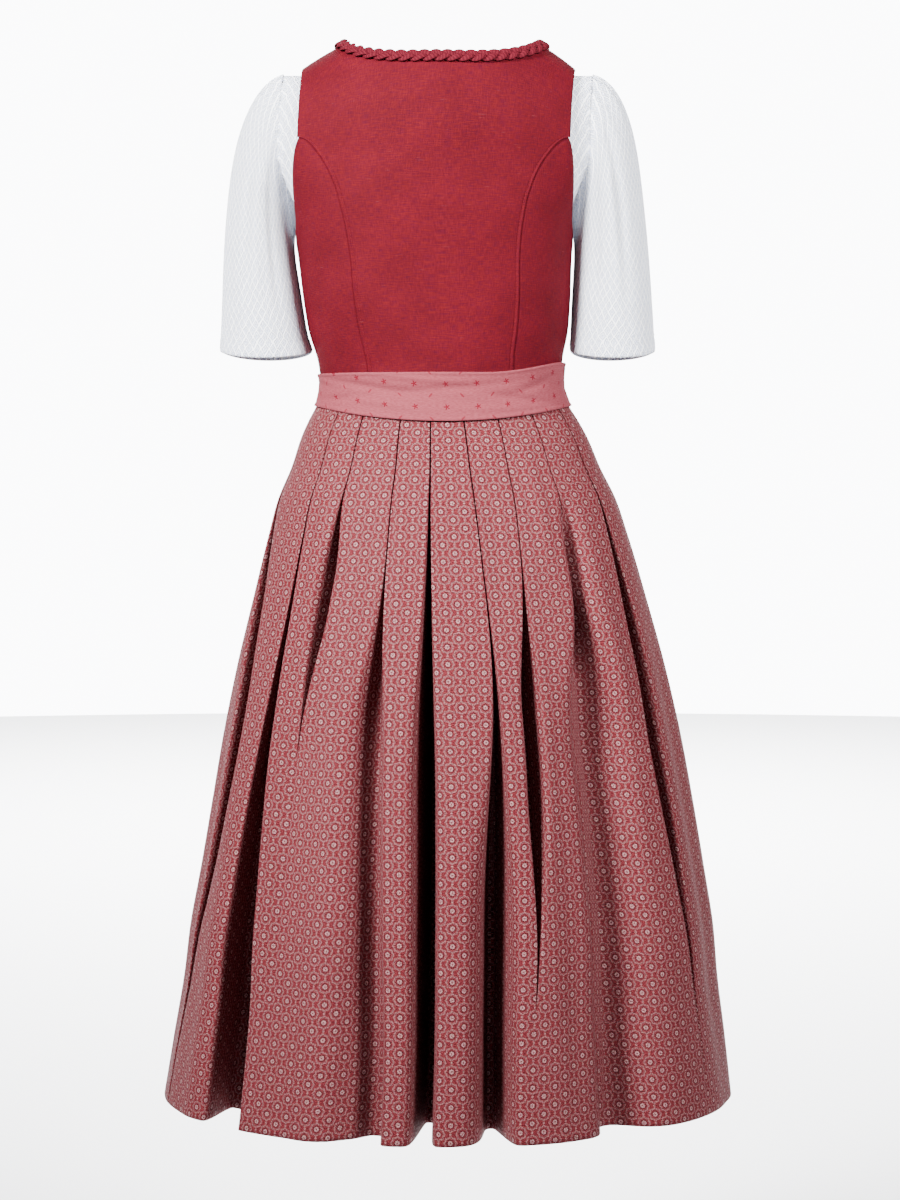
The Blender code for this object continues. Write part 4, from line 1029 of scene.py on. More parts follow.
# %% Pleat tables
Pleat = namedtuple("Pleat", "waist middle hem depth left right opens full shuts gone steep lean",
                   defaults=(2.00, 3.00, 0, 0.0))
SKIRT = (
    Section(-0.352, 0.1290, 0.0965, 0.1000),
    Section(-0.373, 0.1355, 0.1000, 0.1040),
    Section(-0.388, 0.1442, 0.1036, 0.1080),
    Section(-0.403, 0.1520, 0.1100, 0.1150),
    Section(-0.440, 0.1665, 0.1290, 0.1310),
    Section(-0.471, 0.1810, 0.1430, 0.1430),
    Section(-0.510, 0.1930, 0.1570, 0.1550),
    Section(-0.585, 0.2135, 0.1800, 0.1750),
    Section(-0.650, 0.2305, 0.1980, 0.1900),
    Section(-0.720, 0.2460, 0.2150, 0.2050),
    Section(-0.800, 0.2605, 0.2310, 0.2190),
    Section(-0.870, 0.2725, 0.2430, 0.2300),
    Section(-0.930, 0.2830, 0.2520, 0.2380),
    Section(-0.990, 0.2895, 0.2590, 0.2450),
    Section(-1.050, 0.2985, 0.2660, 0.2510),
    Section(-1.115, 0.3075, 0.2720, 0.2560),
)
BACK_PLEATS = (
    Pleat(84.0, 68.0, 76.0, 0.040, 0.0130, 0.0090, 0.04, 0.26, 0.60, 1.10, 3, 0.6),
    Pleat(52.3, 50.4, 45.5, 0.085, 0.0420, 0.0050, 0.03, 0.96, steep=16, lean=0.75),
    Pleat(36.4, 40.0, 39.0, 0.038, 0.0080, 0.0060, 0.09, 0.24, 0.29, 0.50),
    Pleat(18.2, 19.8, 15.2, 0.044, 0.0200, 0.0090, 0.18, 0.50),
    Pleat(5.5, 6.8, 5.2, 0.110, 0.0085, 0.0085, 0.02, 0.55),
    Pleat(-8.3, -11.4, -10.6, 0.080, 0.0180, 0.0080, 0.22, 0.75, steep=-1),
    Pleat(-23.2, -20.4, -16.2, 0.048, 0.0080, 0.0070, 0.19, 0.42, 0.52, 0.84),
    Pleat(-41.0, -39.8, -38.0, 0.048, 0.0260, 0.0300, 0.12, 0.50),
    Pleat(-63.0, -59.6, -63.0, 0.036, 0.0060, 0.0110, 0.04, 0.36, 0.46, 1.00, 2, 0.55),
)
FRONT_PLEATS = (
    Pleat(75.0, 72.0, 70.0, 0.046, 0.0180, 0.0140, 0.08, 0.90),
    Pleat(45.0, 46.0, 44.0, 0.038, 0.0160, 0.0180, 0.10, 0.90),
    Pleat(16.0, 16.0, 17.0, 0.034, 0.0180, 0.0180, 0.12, 1.00),
    Pleat(-14.0, -15.0, -15.0, 0.038, 0.0200, 0.0160, 0.12, 1.00),
    Pleat(-45.0, -44.0, -46.0, 0.036, 0.0160, 0.0200, 0.10, 0.90),
    Pleat(-75.0, -73.0, -70.0, 0.048, 0.0140, 0.0200, 0.08, 0.90),
)
SLIT_DEPTH, SLIT_WIDTH, WIDENING = 0.0060, 0.0006, 1.5
SOFT_POWER, SHARP_POWER, SHARP_WIDTH = 2.3, 9.0, 0.011
BAND_LOW_Z, PLEAT_MIDDLE = -0.373, 0.45
print("pleats:", len(BACK_PLEATS), "behind,", len(FRONT_PLEATS), "in front")

# %% Soft folds on the pleat faces
FOLD_IN, FOLD_OUT = 0.35, 0.65
Fold = namedtuple("Fold", "top_angle low_angle top low half rise")
BACK_FOLDS = (
    Fold(-43, -40, -0.46, -0.67, 0.008, -0.0240),
    Fold(-27, -27, -0.52, -1.20, 0.020, -0.0070),
    Fold(22, 19, -0.85, -1.45, 0.014, -0.0100),
    Fold(28, 29, -0.45, -0.80, 0.012, -0.0030),
    Fold(30, 27, -0.80, -1.25, 0.018, 0.0040),
    Fold(-2, -3, -0.60, -1.20, 0.010, 0.0025),
    Fold(12, 10, -0.42, -0.70, 0.006, -0.0016),
    Fold(44, 43, -0.40, -0.66, 0.007, 0.0020),
    Fold(-14, -14, -0.42, -0.62, 0.007, -0.0018),
    Fold(-32, -31, -0.39, -0.56, 0.008, 0.0022),
    Fold(-50, -49, -0.46, -0.95, 0.012, 0.0035),
    Fold(-75, -76, -0.50, -1.20, 0.024, -0.0060),
    Fold(60, 61, -0.70, -1.20, 0.022, 0.0050),
    Fold(78, 84, -0.60, -1.15, 0.020, -0.0050),
)
FRONT_FOLDS = (
    Fold(30, 31, -0.50, -1.15, 0.018, 0.0040),
    Fold(0, 1, -0.45, -1.00, 0.016, -0.0030),
    Fold(-30, -29, -0.55, -1.20, 0.020, 0.0045),
    Fold(60, 58, -0.50, -1.10, 0.018, -0.0040),
    Fold(-61, -60, -0.60, -1.20, 0.016, -0.0045),
)
Breadth = namedtuple("Breadth", "front pleats folds rows half_columns")
BREADTHS = {
    "skirt_back": Breadth(False, BACK_PLEATS, BACK_FOLDS, 150, 13),
    "skirt_front": Breadth(True, FRONT_PLEATS, FRONT_FOLDS, 110, 12),
}

def half_and_depth(table, height, front):
    """Half-width and depth of a table's sections at a height."""
    depth = "front_depth" if front else "back_depth"
    return read(table, "half_width", height), read(table, depth, height)

def skirt_outline(angle, height, front):
    """A point of the skirt's outline at an angle, and the outward direction there."""
    half, depth = half_and_depth(SKIRT, height, front)
    sine, cosine = np.sin(np.radians(angle)), np.cos(np.radians(angle))
    out = unit(np.stack(np.broadcast_arrays(sine / half, cosine / depth), axis=-1))
    return half * sine, depth * cosine, out

def pleat_state(pleat, height):
    """Angle, depth and half-widths of a pleat's valley at this height."""
    part = np.clip((BAND_LOW_Z - height) / (BAND_LOW_Z - HEM_Z), 0.0, 1.0)
    first = mix(pleat.waist, pleat.middle, ease(0.0, PLEAT_MIDDLE, part))
    angle = mix(first, pleat.hem, ease(PLEAT_MIDDLE, 1.0, part))
    here = 1 - ease(pleat.shuts, pleat.gone, part)
    opened = ease(pleat.opens, pleat.full, part) * here
    left = mix(SLIT_WIDTH, pleat.left, opened**WIDENING)
    right = mix(SLIT_WIDTH, pleat.right, opened**WIDENING)
    return angle, mix(SLIT_DEPTH * here, pleat.depth, opened), left, right

def from_line(angle, centre, height, front):
    """Distance round the skirt from a line that has this angle at each height."""
    half, depth = half_and_depth(SKIRT, height, front)
    turned = np.radians(centre)
    arc = np.radians(1.0) * np.hypot(half * np.cos(turned), depth * np.sin(turned))
    return (angle - centre) * arc

def recess(angle, height, breadth):
    """How far the pleats move the cloth straight in, and how far towards the front."""
    straight = np.zeros(np.broadcast(angle, height).shape)
    leaning = straight.copy()
    for pleat in breadth.pleats:
        centre, depth, left, right = pleat_state(pleat, height)
        away = from_line(angle, centre, height, breadth.front)
        width = np.where(away > 0, left, right)
        power = SOFT_POWER + pleat.steep + SHARP_POWER * np.exp(-width / SHARP_WIDTH)
        here = depth / (1 + np.abs(away / width) ** power)
        straight = straight + (1 - pleat.lean) * here
        leaning = leaning + pleat.lean * here
    return straight, leaning

def folded(angle, height, breadth):
    """Soft ridges and troughs that run down the pleat faces."""
    total = np.zeros(np.broadcast(angle, height).shape)
    for fold in breadth.folds:
        part = (fold.top - height) / (fold.top - fold.low)
        centre = mix(fold.top_angle, fold.low_angle, part)
        away = from_line(angle, centre, height, breadth.front)
        here = ease(0.0, FOLD_IN, part) * (1 - ease(FOLD_OUT, 1.0, part))
        total = total + fold.rise * here * bump(away, 0.0, fold.half)
    return total

print("folds:", len(BACK_FOLDS), "behind,", len(FRONT_FOLDS), "in front")

# %% [markdown]
# ## Rows and columns that follow the pleats
# A slit is a millimetre wide and the face beside it forty, so evenly spaced columns
# would miss it. Each half pleat is first drawn very densely in one row. Then its columns
# are spread evenly over distance plus turning, which puts them where the cloth bends.
# The print is measured from the middle of each face. Where a slit cuts the cloth, the
# two sides keep their own measure, because real cloth goes on inside the pleat.

# %% Skirt grid
TURNING_WEIGHT, FACE_SAMPLES, CONTINUOUS_DEPTH = 0.008, 240, 0.0040

def skirt_row_points(angle, heights, breadth):
    """The cloth's points at these angles, one row of them at each height."""
    height = np.broadcast_to(heights[:, None], angle.shape)
    x, y, out = skirt_outline(angle, height, breadth.front)
    straight, leaning = recess(angle, height, breadth)
    back = straight - folded(angle, height, breadth)
    sign = -1.0 if breadth.front else 1.0
    return placed(x - back * out[..., 0], sign * (y - back * out[..., 1] - leaning), height)

def summed(steps):
    return np.pad(np.cumsum(steps, axis=1), ((0, 0), (1, 0)))

def half_pleat(start, end, heights, breadth):
    """Angles from a valley's middle to the middle of the face beside it, and the length of
    cloth from the valley to each of them, for every row."""
    part = np.linspace(0.0, 1.0, FACE_SAMPLES)[None, :] ** 3
    angle = start[:, None] + (end - start)[:, None] * part
    step = np.diff(skirt_row_points(angle, heights, breadth), axis=1)
    size = np.linalg.norm(step, axis=-1)
    heading = np.unwrap(np.arctan2(step[..., 1], step[..., 0]), axis=1)
    turning = np.pad(np.abs(np.diff(heading, axis=1)), ((0, 0), (1, 0)))
    way, weight = summed(size), summed(size + TURNING_WEIGHT * turning)
    chosen, measured = [], []
    for row in range(len(heights)):
        at = np.linspace(0, weight[row, -1], breadth.half_columns + 1)
        chosen.append(np.interp(at, weight[row], angle[row]))
        measured.append(np.interp(at, weight[row], way[row]))
    return np.stack(chosen), np.stack(measured)

def skirt_cloth(breadth):
    """One breadth, from side seam to side seam: its points, its cloth coordinates, and the
    ones that the faces on the left of a column use."""
    heights = np.linspace(WAIST_Z - SEAM_GAP, HEM_Z, breadth.rows)
    centres = [pleat_state(pleat, heights)[0] for pleat in breadth.pleats]
    side_seam = np.full(breadth.rows, SIDE_ANGLE)
    between = [(one + other) / 2 for one, other in zip(centres, centres[1:])]
    limits = [side_seam, *between, -side_seam]
    angles, flat, split = [side_seam[:, None]], [], []
    face_at = 0.0
    for number, (pleat, centre) in enumerate(zip(breadth.pleats, centres)):
        cut = np.clip(pleat_state(pleat, heights)[1] / CONTINUOUS_DEPTH, 0.0, 1.0)[:, None]
        for inward in (True, False):
            end = limits[number] if inward else limits[number + 1]
            spread, way = half_pleat(centre, end, heights, breadth)
            full = way[:, -1:]
            left_over = (full - way) * mix(full[-1] / full, 1.0, cut)
            if inward:
                angles.append(spread[:, ::-1][:, 1:])
                first = face_at + left_over[:, ::-1]
                flat.append(first if number == 0 else first[:, 1:])
                split.append(flat[-1].copy())
                face_at = face_at + full[-1]
            else:
                face_at = face_at + full[-1]
                outward = face_at - left_over
                angles.append(spread[:, 1:])
                split[-1][:, -1:] = outward[:, :1]
                flat.append(outward[:, 1:])
                split.append(outward[:, 1:].copy())
    angle = np.concatenate(angles, axis=1)
    radius = (read(SKIRT, "half_width", heights) + read(SKIRT, "back_depth", heights)) / 2
    down = lengths(np.stack([radius, heights], axis=-1)[:, None, :], 0)
    down = np.broadcast_to(down, angle.shape)
    across, other = np.concatenate(flat, axis=1), np.concatenate(split, axis=1)
    points = skirt_row_points(angle, heights, breadth)
    return points, np.stack([across, -down], axis=-1), np.stack([other, -down], axis=-1)

print("breadths of the skirt:", ", ".join(BREADTHS))

# %% [markdown]
# ## Rose jacquard
# The skirt is a woven jacquard with small pale rosettes on rose red. The rosettes stand
# on a centred lattice, and a centred lattice is two plain ones, the second half a repeat
# over and half a repeat down. WRAP brings every point of the cloth back into one repeat,
# so the shader only ever draws one rosette: its petals come from an angle, and its
# colours from a radius.

# %% Jacquard material
ROSETTE_ACROSS, ROSETTE_DOWN, ROSETTE_RADIUS = 0.0245, 0.0178, 0.0064
PETALS, PETAL_LOBE, DOT_RADIUS, WEAVE_PITCH = 8, 0.07, 0.0012, 0.0009
DASH_IN, DASH_OUT, DASH_WIDE = 0.26, 0.40, 0.10
DOT_SOFT, DOT_FULL, WEAVE_STRETCH, TINT_SHARE = 1.3, 0.6, 0.8, 0.35

def wrapped(tree, metres, shift, repeat):
    """Each point's place inside one repeat, measured from its middle."""
    half = (repeat[0] / 2, repeat[1] / 2, 1)
    low = (-half[0], -half[1], -1)
    return vector(tree, "WRAP", vector(tree, "ADD", metres, (*shift, 0)), half, low)

def lobes_round(tree, place, count):
    """A wave that swings this many times on the way round the middle of a repeat."""
    parts = add(tree, "SeparateXYZ", {0: place})
    angle = maths(tree, "ARCTAN2", parts.outputs[1], parts.outputs[0])
    return maths(tree, "COSINE", maths(tree, "MULTIPLY", angle, count))

def rose_jacquard():
    """Satin-woven cloth: pale rosettes with petals on a mottled rose-red ground."""
    made, tree, shader, metres = cloth_material("rose_jacquard", roughness=0.6, specular=0.03)
    repeat = (ROSETTE_ACROSS, ROSETTE_DOWN)
    first = wrapped(tree, metres, (0, 0), repeat)
    second = wrapped(tree, metres, (ROSETTE_ACROSS / 2, ROSETTE_DOWN / 2), repeat)
    first_far, second_far = length_of(tree, first), length_of(tree, second)
    place = blend(tree, maths(tree, "LESS_THAN", second_far, first_far), first, second)
    far = maths(tree, "MINIMUM", first_far, second_far)
    lobes = lobes_round(tree, place, PETALS)
    radius = maths(tree, "MULTIPLY", far, maths(tree, "MULTIPLY_ADD", lobes, -PETAL_LOBE, 1.0))
    reach = maths(tree, "DIVIDE", radius, ROSETTE_RADIUS * 1.5)
    flower = ramp(tree, reach, (
        (0.05, "#54252A"), (0.09, "#936B6B"), (0.22, "#987071"), (0.28, "#5E2026"),
        (0.37, "#5D2125"), (0.42, "#6C2E34"), (0.52, "#6C393C"), (0.57, "#7F5456"),
        (0.68, "#794C4E"), (0.74, "#66272C"), (1.0, "#65252B"),
    ))
    ring = maths(tree, "MULTIPLY", maths(tree, "LESS_THAN", reach, DASH_OUT),
                 maths(tree, "GREATER_THAN", reach, DASH_IN))
    dashes = maths(tree, "MULTIPLY", maths(tree, "LESS_THAN", lobes, DASH_WIDE), ring)
    petals = blend(tree, dashes, flower, linear("#48191E"))
    dot_place = (0, ROSETTE_DOWN / 2, 0)
    dot_far = vector(tree, "DISTANCE", vector(tree, "ABSOLUTE", place), dot_place)
    dot = ranged(tree, dot_far.outputs["Value"], DOT_RADIUS * DOT_SOFT, DOT_RADIUS * DOT_FULL)
    dotted = blend(tree, dot, petals, linear("#8C6162"))
    scale = (1 / WEAVE_PITCH, WEAVE_STRETCH / WEAVE_PITCH, 1)
    threads = add(tree, "Mapping", {0: metres, "Scale": scale})
    weave = noise(tree, threads, detail=1.0)
    tints = blend(tree, TINT_SHARE, dotted, weave.outputs["Color"], "OVERLAY")
    speckle = ramp(tree, weave, ((0.36, "#7E7476"), (0.62, "#FFFFFF")))
    colour = blend(tree, 1.0, tints, speckle, "MULTIPLY")
    pale = add(tree, "SeparateColor", {0: dotted}).outputs[1]
    height = maths(tree, "ADD", pale, weave)
    surface(tree, shader, colour, height, strength=0.35, distance=0.0005)
    return made

JACQUARD = rose_jacquard()
print("material", JACQUARD.name)

# %% Skirt
SKIRT_THICK = 0.0012
for name, breadth in BREADTHS.items():
    points, flat, split = skirt_cloth(breadth)
    piece = cloth(f"{name}_cloth", points, JACQUARD, SKIRT_THICK, flat=flat, split=split)
    sewn_in(piece, name)

# %% [markdown]
# ## White blouse
# The blouse is a light cotton with a woven relief of small diamonds, one inside another.
# A triangle wave across the cloth and one along it are added. Their sum is the same along
# straight diagonal lines, so each value of it draws a net of diamonds: one value gives the
# outer ridges and another the inner ones. The sleeve is one surface swept from the
# armhole to the hem, with soft gathers at its cap and a turned hem.

# %% Cotton material
DIAMOND_ACROSS, DIAMOND_DOWN = 0.0085, 0.0130
WOBBLE_SCALE, WOBBLE = 120.0, (0.0040, 0.0050, 0)
OUTER_SOFT, OUTER_FULL = 0.17, 0.05
INNER_AT, INNER_HALF_WIDE, INNER_SHARE = 0.29, 0.11, 0.8

def white_cotton():
    """Soft white cotton woven in relief, with painted shade in the grey gaps between the diamonds.
    """
    made, tree, shader, metres = cloth_material("white_relief_cotton", roughness=0.75,
                                                specular=0.2)
    wobble = noise(tree, metres, detail=2.0, scale=WOBBLE_SCALE).outputs["Color"]
    moved = vector(tree, "ADD", metres, vector(tree, "MULTIPLY", wobble, WOBBLE))
    waves = vector(tree, "MULTIPLY", moved, (1 / DIAMOND_ACROSS, 1 / DIAMOND_DOWN, 0))
    parts = add(tree, "SeparateXYZ", {0: waves})
    across, down = (maths(tree, "PINGPONG", parts.outputs[i], 0.5) for i in (0, 1))
    from_net = maths(tree, "SUBTRACT", maths(tree, "ADD", across, down), 0.5)
    lines = maths(tree, "ABSOLUTE", from_net)
    outline = ranged(tree, lines, OUTER_SOFT, OUTER_FULL, kind="SMOOTHSTEP")
    away = maths(tree, "ABSOLUTE", maths(tree, "SUBTRACT", lines, INNER_AT))
    inner = ranged(tree, away, INNER_HALF_WIDE, 0.0, high=INNER_SHARE, kind="SMOOTHSTEP")
    pattern = maths(tree, "MAXIMUM", outline, inner)
    fibres = noise(tree, metres, detail=2.0, scale=FIBRE_SCALE)
    relief = maths(tree, "MULTIPLY_ADD", fibres, 0.5, pattern)
    # Painted shade: the ramp draws the low parts of the relief, the gaps between the diamonds,
    # grey, so that the relief shows.
    colour = ramp(tree, relief, ((0.25, "#BFC7DD"), (0.60, "#E2E8FB"), (1.0, "#FAFBFF")))
    surface(tree, shader, colour, relief, strength=1.0, distance=0.0012)
    return made

COTTON = white_cotton()
print("material", COTTON.name)

# %% Blouse body
BLOUSE_INSET, BLOUSE_THICK, WALL_SHARE = 0.0066, 0.0010, 0.9
BLOUSE_ARM_ANGLE, BLOUSE_ARM_BOTTOM_Z = 79.0, -0.178
BLOUSE_ARM_BEND, BLOUSE_ARM_RISE, BLOUSE_COLUMNS, BLOUSE_ROWS = 3, 1.2, 72, 60
BLOUSE_NECK_ANGLE, BLOUSE_FRONT_NECK_Z = 42.0, -0.106
BLOUSE_BACK_NECK_CLIMB = BACK_NECK_CLIMB - 0.020
BLOUSE_STRAP_SHARE, BLOUSE_SIDE_SHARE = 0.14, 0.25

def blouse_armhole(part):
    """The blouse's armhole, from the underarm to the shoulder."""
    angle = BLOUSE_ARM_ANGLE + (SIDE_ANGLE - BLOUSE_ARM_ANGLE) * (1 - part) ** BLOUSE_ARM_BEND
    return angle, mix(BLOUSE_ARM_BOTTOM_Z, SHOULDER_SEAM, part**BLOUSE_ARM_RISE)

def blouse_body(name, drawn, low_neck):
    """The cropped blouse, back or front, under the bodice."""
    def low_side(part):
        return pair(SIDE_ANGLE, drawn(mix(BLOUSE_HEM_Z, BLOUSE_ARM_BOTTOM_Z, part)))

    def arm_side(part):
        angle, climb = blouse_armhole(part)
        return pair(angle, drawn(climb))

    def bottom(part):
        return pair(mix(-1, 1, part) * SIDE_ANGLE, drawn(BLOUSE_HEM_Z))

    def top(part):
        angle, climb = both_straps(part, BLOUSE_STRAP_SHARE, BLOUSE_NECK_ANGLE,
                                   BLOUSE_ARM_ANGLE, low_neck)
        return pair(angle, drawn(climb))

    edge = joined(low_side, arm_side, BLOUSE_SIDE_SHARE)
    flat = patch(mirrored(edge), edge, bottom, top, even(BLOUSE_COLUMNS), even(BLOUSE_ROWS))
    points = on_torso(flat[..., 0], flat[..., 1], BLOUSE_INSET)
    piece = cloth(f"{name}_cloth", points, COTTON, BLOUSE_THICK * WALL_SHARE)
    sewn_in(piece, name)

blouse_body("blouse_back", up_back, BLOUSE_BACK_NECK_CLIMB)
blouse_body("blouse_front", down_front, BLOUSE_FRONT_NECK_Z)

# %% Neck binding
BINDING_WIDTH, BINDING_LIFT, BINDING_HALF_THICK, BINDING_SIDES = 0.007, 0.0013, 0.0007, 12
BINDING_RINGS, BINDING_START = 241, 0.3
BLOUSE_NECK = (BLOUSE_NECK_ANGLE, BLOUSE_BACK_NECK_CLIMB, BLOUSE_FRONT_NECK_Z, BINDING_START,
               -BINDING_START)
angle, climb, _ = neck_loop(*BLOUSE_NECK, BINDING_RINGS)
line, normal = beside_neck(angle, climb, BLOUSE_INSET, BINDING_WIDTH / 2, BINDING_LIFT)
rings = round_line(line, normal, BINDING_WIDTH / 2, BINDING_HALF_THICK, BINDING_SIDES)
piece = cloth("blouse_neck_binding_cloth", rings, COTTON, 0.0, centre=own_axis, closed=True)
stands_for(piece, "blouse_neck_binding")
print(piece.name, "has", len(rings), "rings")

# %% [markdown]
# ## Sleeves
# A point runs round the armhole and another round the hem, and each pair is joined by a
# curve that leaves the shoulder outward and arrives at the hem going down. Below the
# underarm the sleeve clings to the bodice. Ridges that fade along it are the gathers.

# %% Sleeve shape
CUFF_X, CUFF_HALF_DEPTH, CUFF_Z, CUFF_SAG = 0.1860, 0.0525, -0.313, 0.010
Cut = namedtuple("Cut", "cuff_half_width reach flare cling")
SLEEVES = {1: Cut(0.0490, 0.175, 0.035, 0.0030), -1: Cut(0.0450, 0.200, 0.005, 0.0012)}
Gather = namedtuple("Gather", "turn drift half start end rise")
SLEEVE_GATHERS = (
    Gather(196, -6, 7, -0.10, 0.52, 0.0026),
    Gather(181, 3, 5, -0.10, 0.40, -0.0018),
    Gather(167, 8, 7, -0.10, 0.60, 0.0024),
    Gather(150, 10, 6, -0.10, 0.42, 0.0020),
    Gather(134, 6, 6, -0.10, 0.36, -0.0016),
    Gather(212, -10, 6, -0.10, 0.44, 0.0020),
    Gather(228, -8, 7, -0.10, 0.40, 0.0016),
    Gather(112, -4, 8, 0.10, 0.80, -0.0022),
    Gather(92, 6, 9, 0.25, 0.95, 0.0024),
    Gather(60, 4, 9, 0.20, 0.90, -0.0024),
    Gather(248, 6, 9, 0.15, 0.85, -0.0022),
    Gather(272, -4, 9, 0.20, 0.95, 0.0022),
    Gather(30, -6, 8, 0.05, 0.60, 0.0020),
    Gather(330, 5, 8, 0.05, 0.60, -0.0020),
)
HEM_FOLD, HEM_STITCH, HEM_RISE, HEM_ROLL = 0.012, 0.0115, 0.0005, 0.0006
LEAVE_OUT, LEAVE_ASIDE, LEAVE_DOWN, LEAVE_TILT, LEAVE_DROP = 0.05, 0.05, 0.035, 0.015, 0.05
ARRIVE_DOWN, ARRIVE_TILT = 0.2, 0.1
ARMHOLE_GAP, CLING_AT, CLING_WIDE = 0.0002, 0.60, 0.24
GATHER_IN, GATHER_OUT, HEM_SMOOTH, FOLD_STEP = 0.10, 0.30, 0.02, 0.0010
SLEEVE_COLUMNS, SLEEVE_ROWS, HEM_THREAD_LIFT = 144, 110, 0.0007

def sleeve_points(side):
    """Rows from the armhole to the hem, columns round the arm from the underarm."""
    cut = SLEEVES[side]
    turn = np.arange(SLEEVE_COLUMNS + 1) / SLEEVE_COLUMNS * 2 * math.pi
    angle, climb = blouse_armhole(1 - np.abs(turn / math.pi - 1))
    climb = np.where(turn <= math.pi, climb, down_front(climb))
    start = on_torso(angle, climb, BLOUSE_INSET + BLOUSE_THICK / 2)
    start[:, 0] -= read(LEAN, "across", start[:, 2])
    start[:, 0] -= ARMHOLE_GAP
    ring = math.pi - turn
    cosine, sine = np.cos(ring), np.sin(ring)
    end = np.stack([
        CUFF_X + cut.cuff_half_width * cosine,
        CUFF_HALF_DEPTH * sine,
        CUFF_Z - CUFF_SAG * np.abs(sine),
    ], axis=-1)
    leave = np.stack([
        mix(LEAVE_OUT, cut.reach, ((1 + cosine) / 2) ** 2),
        LEAVE_ASIDE * sine,
        -LEAVE_DOWN - LEAVE_TILT * cosine - LEAVE_DROP * sine**2,
    ], axis=-1)
    arrive = np.stack([cut.flare * cosine, 0 * ring, -ARRIVE_DOWN - ARRIVE_TILT * cosine], axis=-1)
    t = even(SLEEVE_ROWS)[:, None, None]
    points = (
        (2 * t**3 - 3 * t**2 + 1) * start + (t**3 - 2 * t**2 + t) * leave
        + (3 * t**2 - 2 * t**3) * end + (t**3 - t**2) * arrive
    )
    toward_body = ((1 - cosine) / 2) ** 3
    points[..., 0] -= cut.cling * toward_body * bump(t[..., 0], CLING_AT, CLING_WIDE)
    out = unit(points - points.mean(axis=1, keepdims=True))
    degrees, way = np.degrees(turn)[None, :], t[..., 0]
    rise = 0 * degrees * way
    for one in SLEEVE_GATHERS:
        here = ease(one.start, one.start + GATHER_IN, way)
        here = here * (1 - ease(one.end - GATHER_OUT, one.end, way))
        rise = rise + one.rise * here * bump(degrees - one.drift * way, one.turn, one.half)
    to_hem = lengths(points, 0)
    to_hem = to_hem[-1:] - to_hem
    rise = rise * ease(0.0, HEM_SMOOTH, to_hem)
    rise = rise + HEM_RISE * (1 - ease(HEM_FOLD - FOLD_STEP, HEM_FOLD, to_hem))
    rise = rise - HEM_ROLL * (1 - ease(0.0, ROLL_WIDE, to_hem))
    points = points + out * rise[..., None]
    points[:, -1] = points[:, 0]
    return placed(side * points[..., 0], points[..., 1], points[..., 2]), out * [side, 1, 1]

hem_lines = []
for side, hand in HANDS:
    points, out = sleeve_points(side)
    flat = flat_cloth(points)
    flat[..., 1] -= flat[-1:, :, 1]
    piece = cloth(f"sleeve_{hand}_cloth", points, COTTON, BLOUSE_THICK, flat=flat,
                  centre=own_axis, closed=True, offset=0.0)
    sewn_in(piece, f"sleeve_{hand}")
    down = lengths(points, 0).mean(axis=1)
    row = int(np.abs(down[-1] - down - HEM_STITCH).argmin())
    hem_lines.append((points[row] + out[row] * HEM_THREAD_LIFT, out[row]))
stitch_row("sleeve_hem_stitches", hem_lines, WHITE_THREAD)

# %% [markdown]
# ## Apron cloth
# The apron is a dusty rose cotton with fine ribs across it, sprinkled with small red
# stars and tilted sprigs. A star is where the distance to its middle is less than a
# radius that swings with the angle. The sprigs stand between the stars, and they lean the
# other way in each next cell: that comes from folding two cells onto each other with an
# absolute value, which mirrors whatever is drawn there. Real ribs are half a millimetre
# apart, too fine to show here, so they are drawn twice as coarse.

# %% Apron material
STAR_ACROSS, STAR_DOWN, PRINT_SHIFT = 0.0330, 0.0251, (0.004, 0.010)
STAR_RADIUS, STAR_LOBE, STAR_POINTS = 0.0034, 0.55, 5
SPRIG_LONG, SPRIG_WIDE, SPRIG_TILT, SPRIG_SHARE = 0.0030, 0.0010, 48, 0.75
RIB_PITCH, SPECKS, SPECK_SHARE = 0.0011, (250, 900, 1), 0.75

def pink_cotton():
    """Matt ribbed cotton, dusty rose, with red woven stars and sprigs."""
    made, tree, shader, metres = cloth_material("rose_ribbed_cotton", roughness=0.8,
                                                specular=0.1)
    star_place = wrapped(tree, metres, PRINT_SHIFT, (STAR_ACROSS, STAR_DOWN))
    middle = STAR_RADIUS / (1 + STAR_LOBE)
    lobes = lobes_round(tree, star_place, STAR_POINTS)
    limit = maths(tree, "MULTIPLY_ADD", lobes, STAR_LOBE * middle, middle)
    star = maths(tree, "LESS_THAN", length_of(tree, star_place), limit)
    pairs = wrapped(tree, metres, PRINT_SHIFT, (2 * STAR_ACROSS, 2 * STAR_DOWN))
    place = vector(tree, "SUBTRACT", vector(tree, "ABSOLUTE", pairs),
                   (STAR_ACROSS / 2, STAR_DOWN / 2, 0))
    sprig = add(tree, "Mapping", {0: place, "Rotation": (0, 0, math.radians(SPRIG_TILT)),
                                  "Scale": (SPRIG_LONG, SPRIG_WIDE, 1)}, vector_type="TEXTURE")
    inside = maths(tree, "LESS_THAN", length_of(tree, sprig), 1.0)
    marks = maths(tree, "MAXIMUM", star, maths(tree, "MULTIPLY", inside, SPRIG_SHARE))
    ribs = bands(tree, metres, RIB_PITCH, distortion=3.0, detail=3.0, direction="Y")
    specks = noise(tree, vector(tree, "MULTIPLY", metres, SPECKS), detail=3.0)
    mixed = blend(tree, SPECK_SHARE, ribs, specks)
    ground = ramp(tree, mixed, ((0.30, "#642930"), (0.5, "#6F3138"), (0.70, "#7B3C43")))
    colour = blend(tree, marks, ground, linear("#5A0818"))
    surface(tree, shader, colour, mixed, strength=0.4, distance=0.0005)
    return made

APRON_COTTON = pink_cotton()
print("material", APRON_COTTON.name)

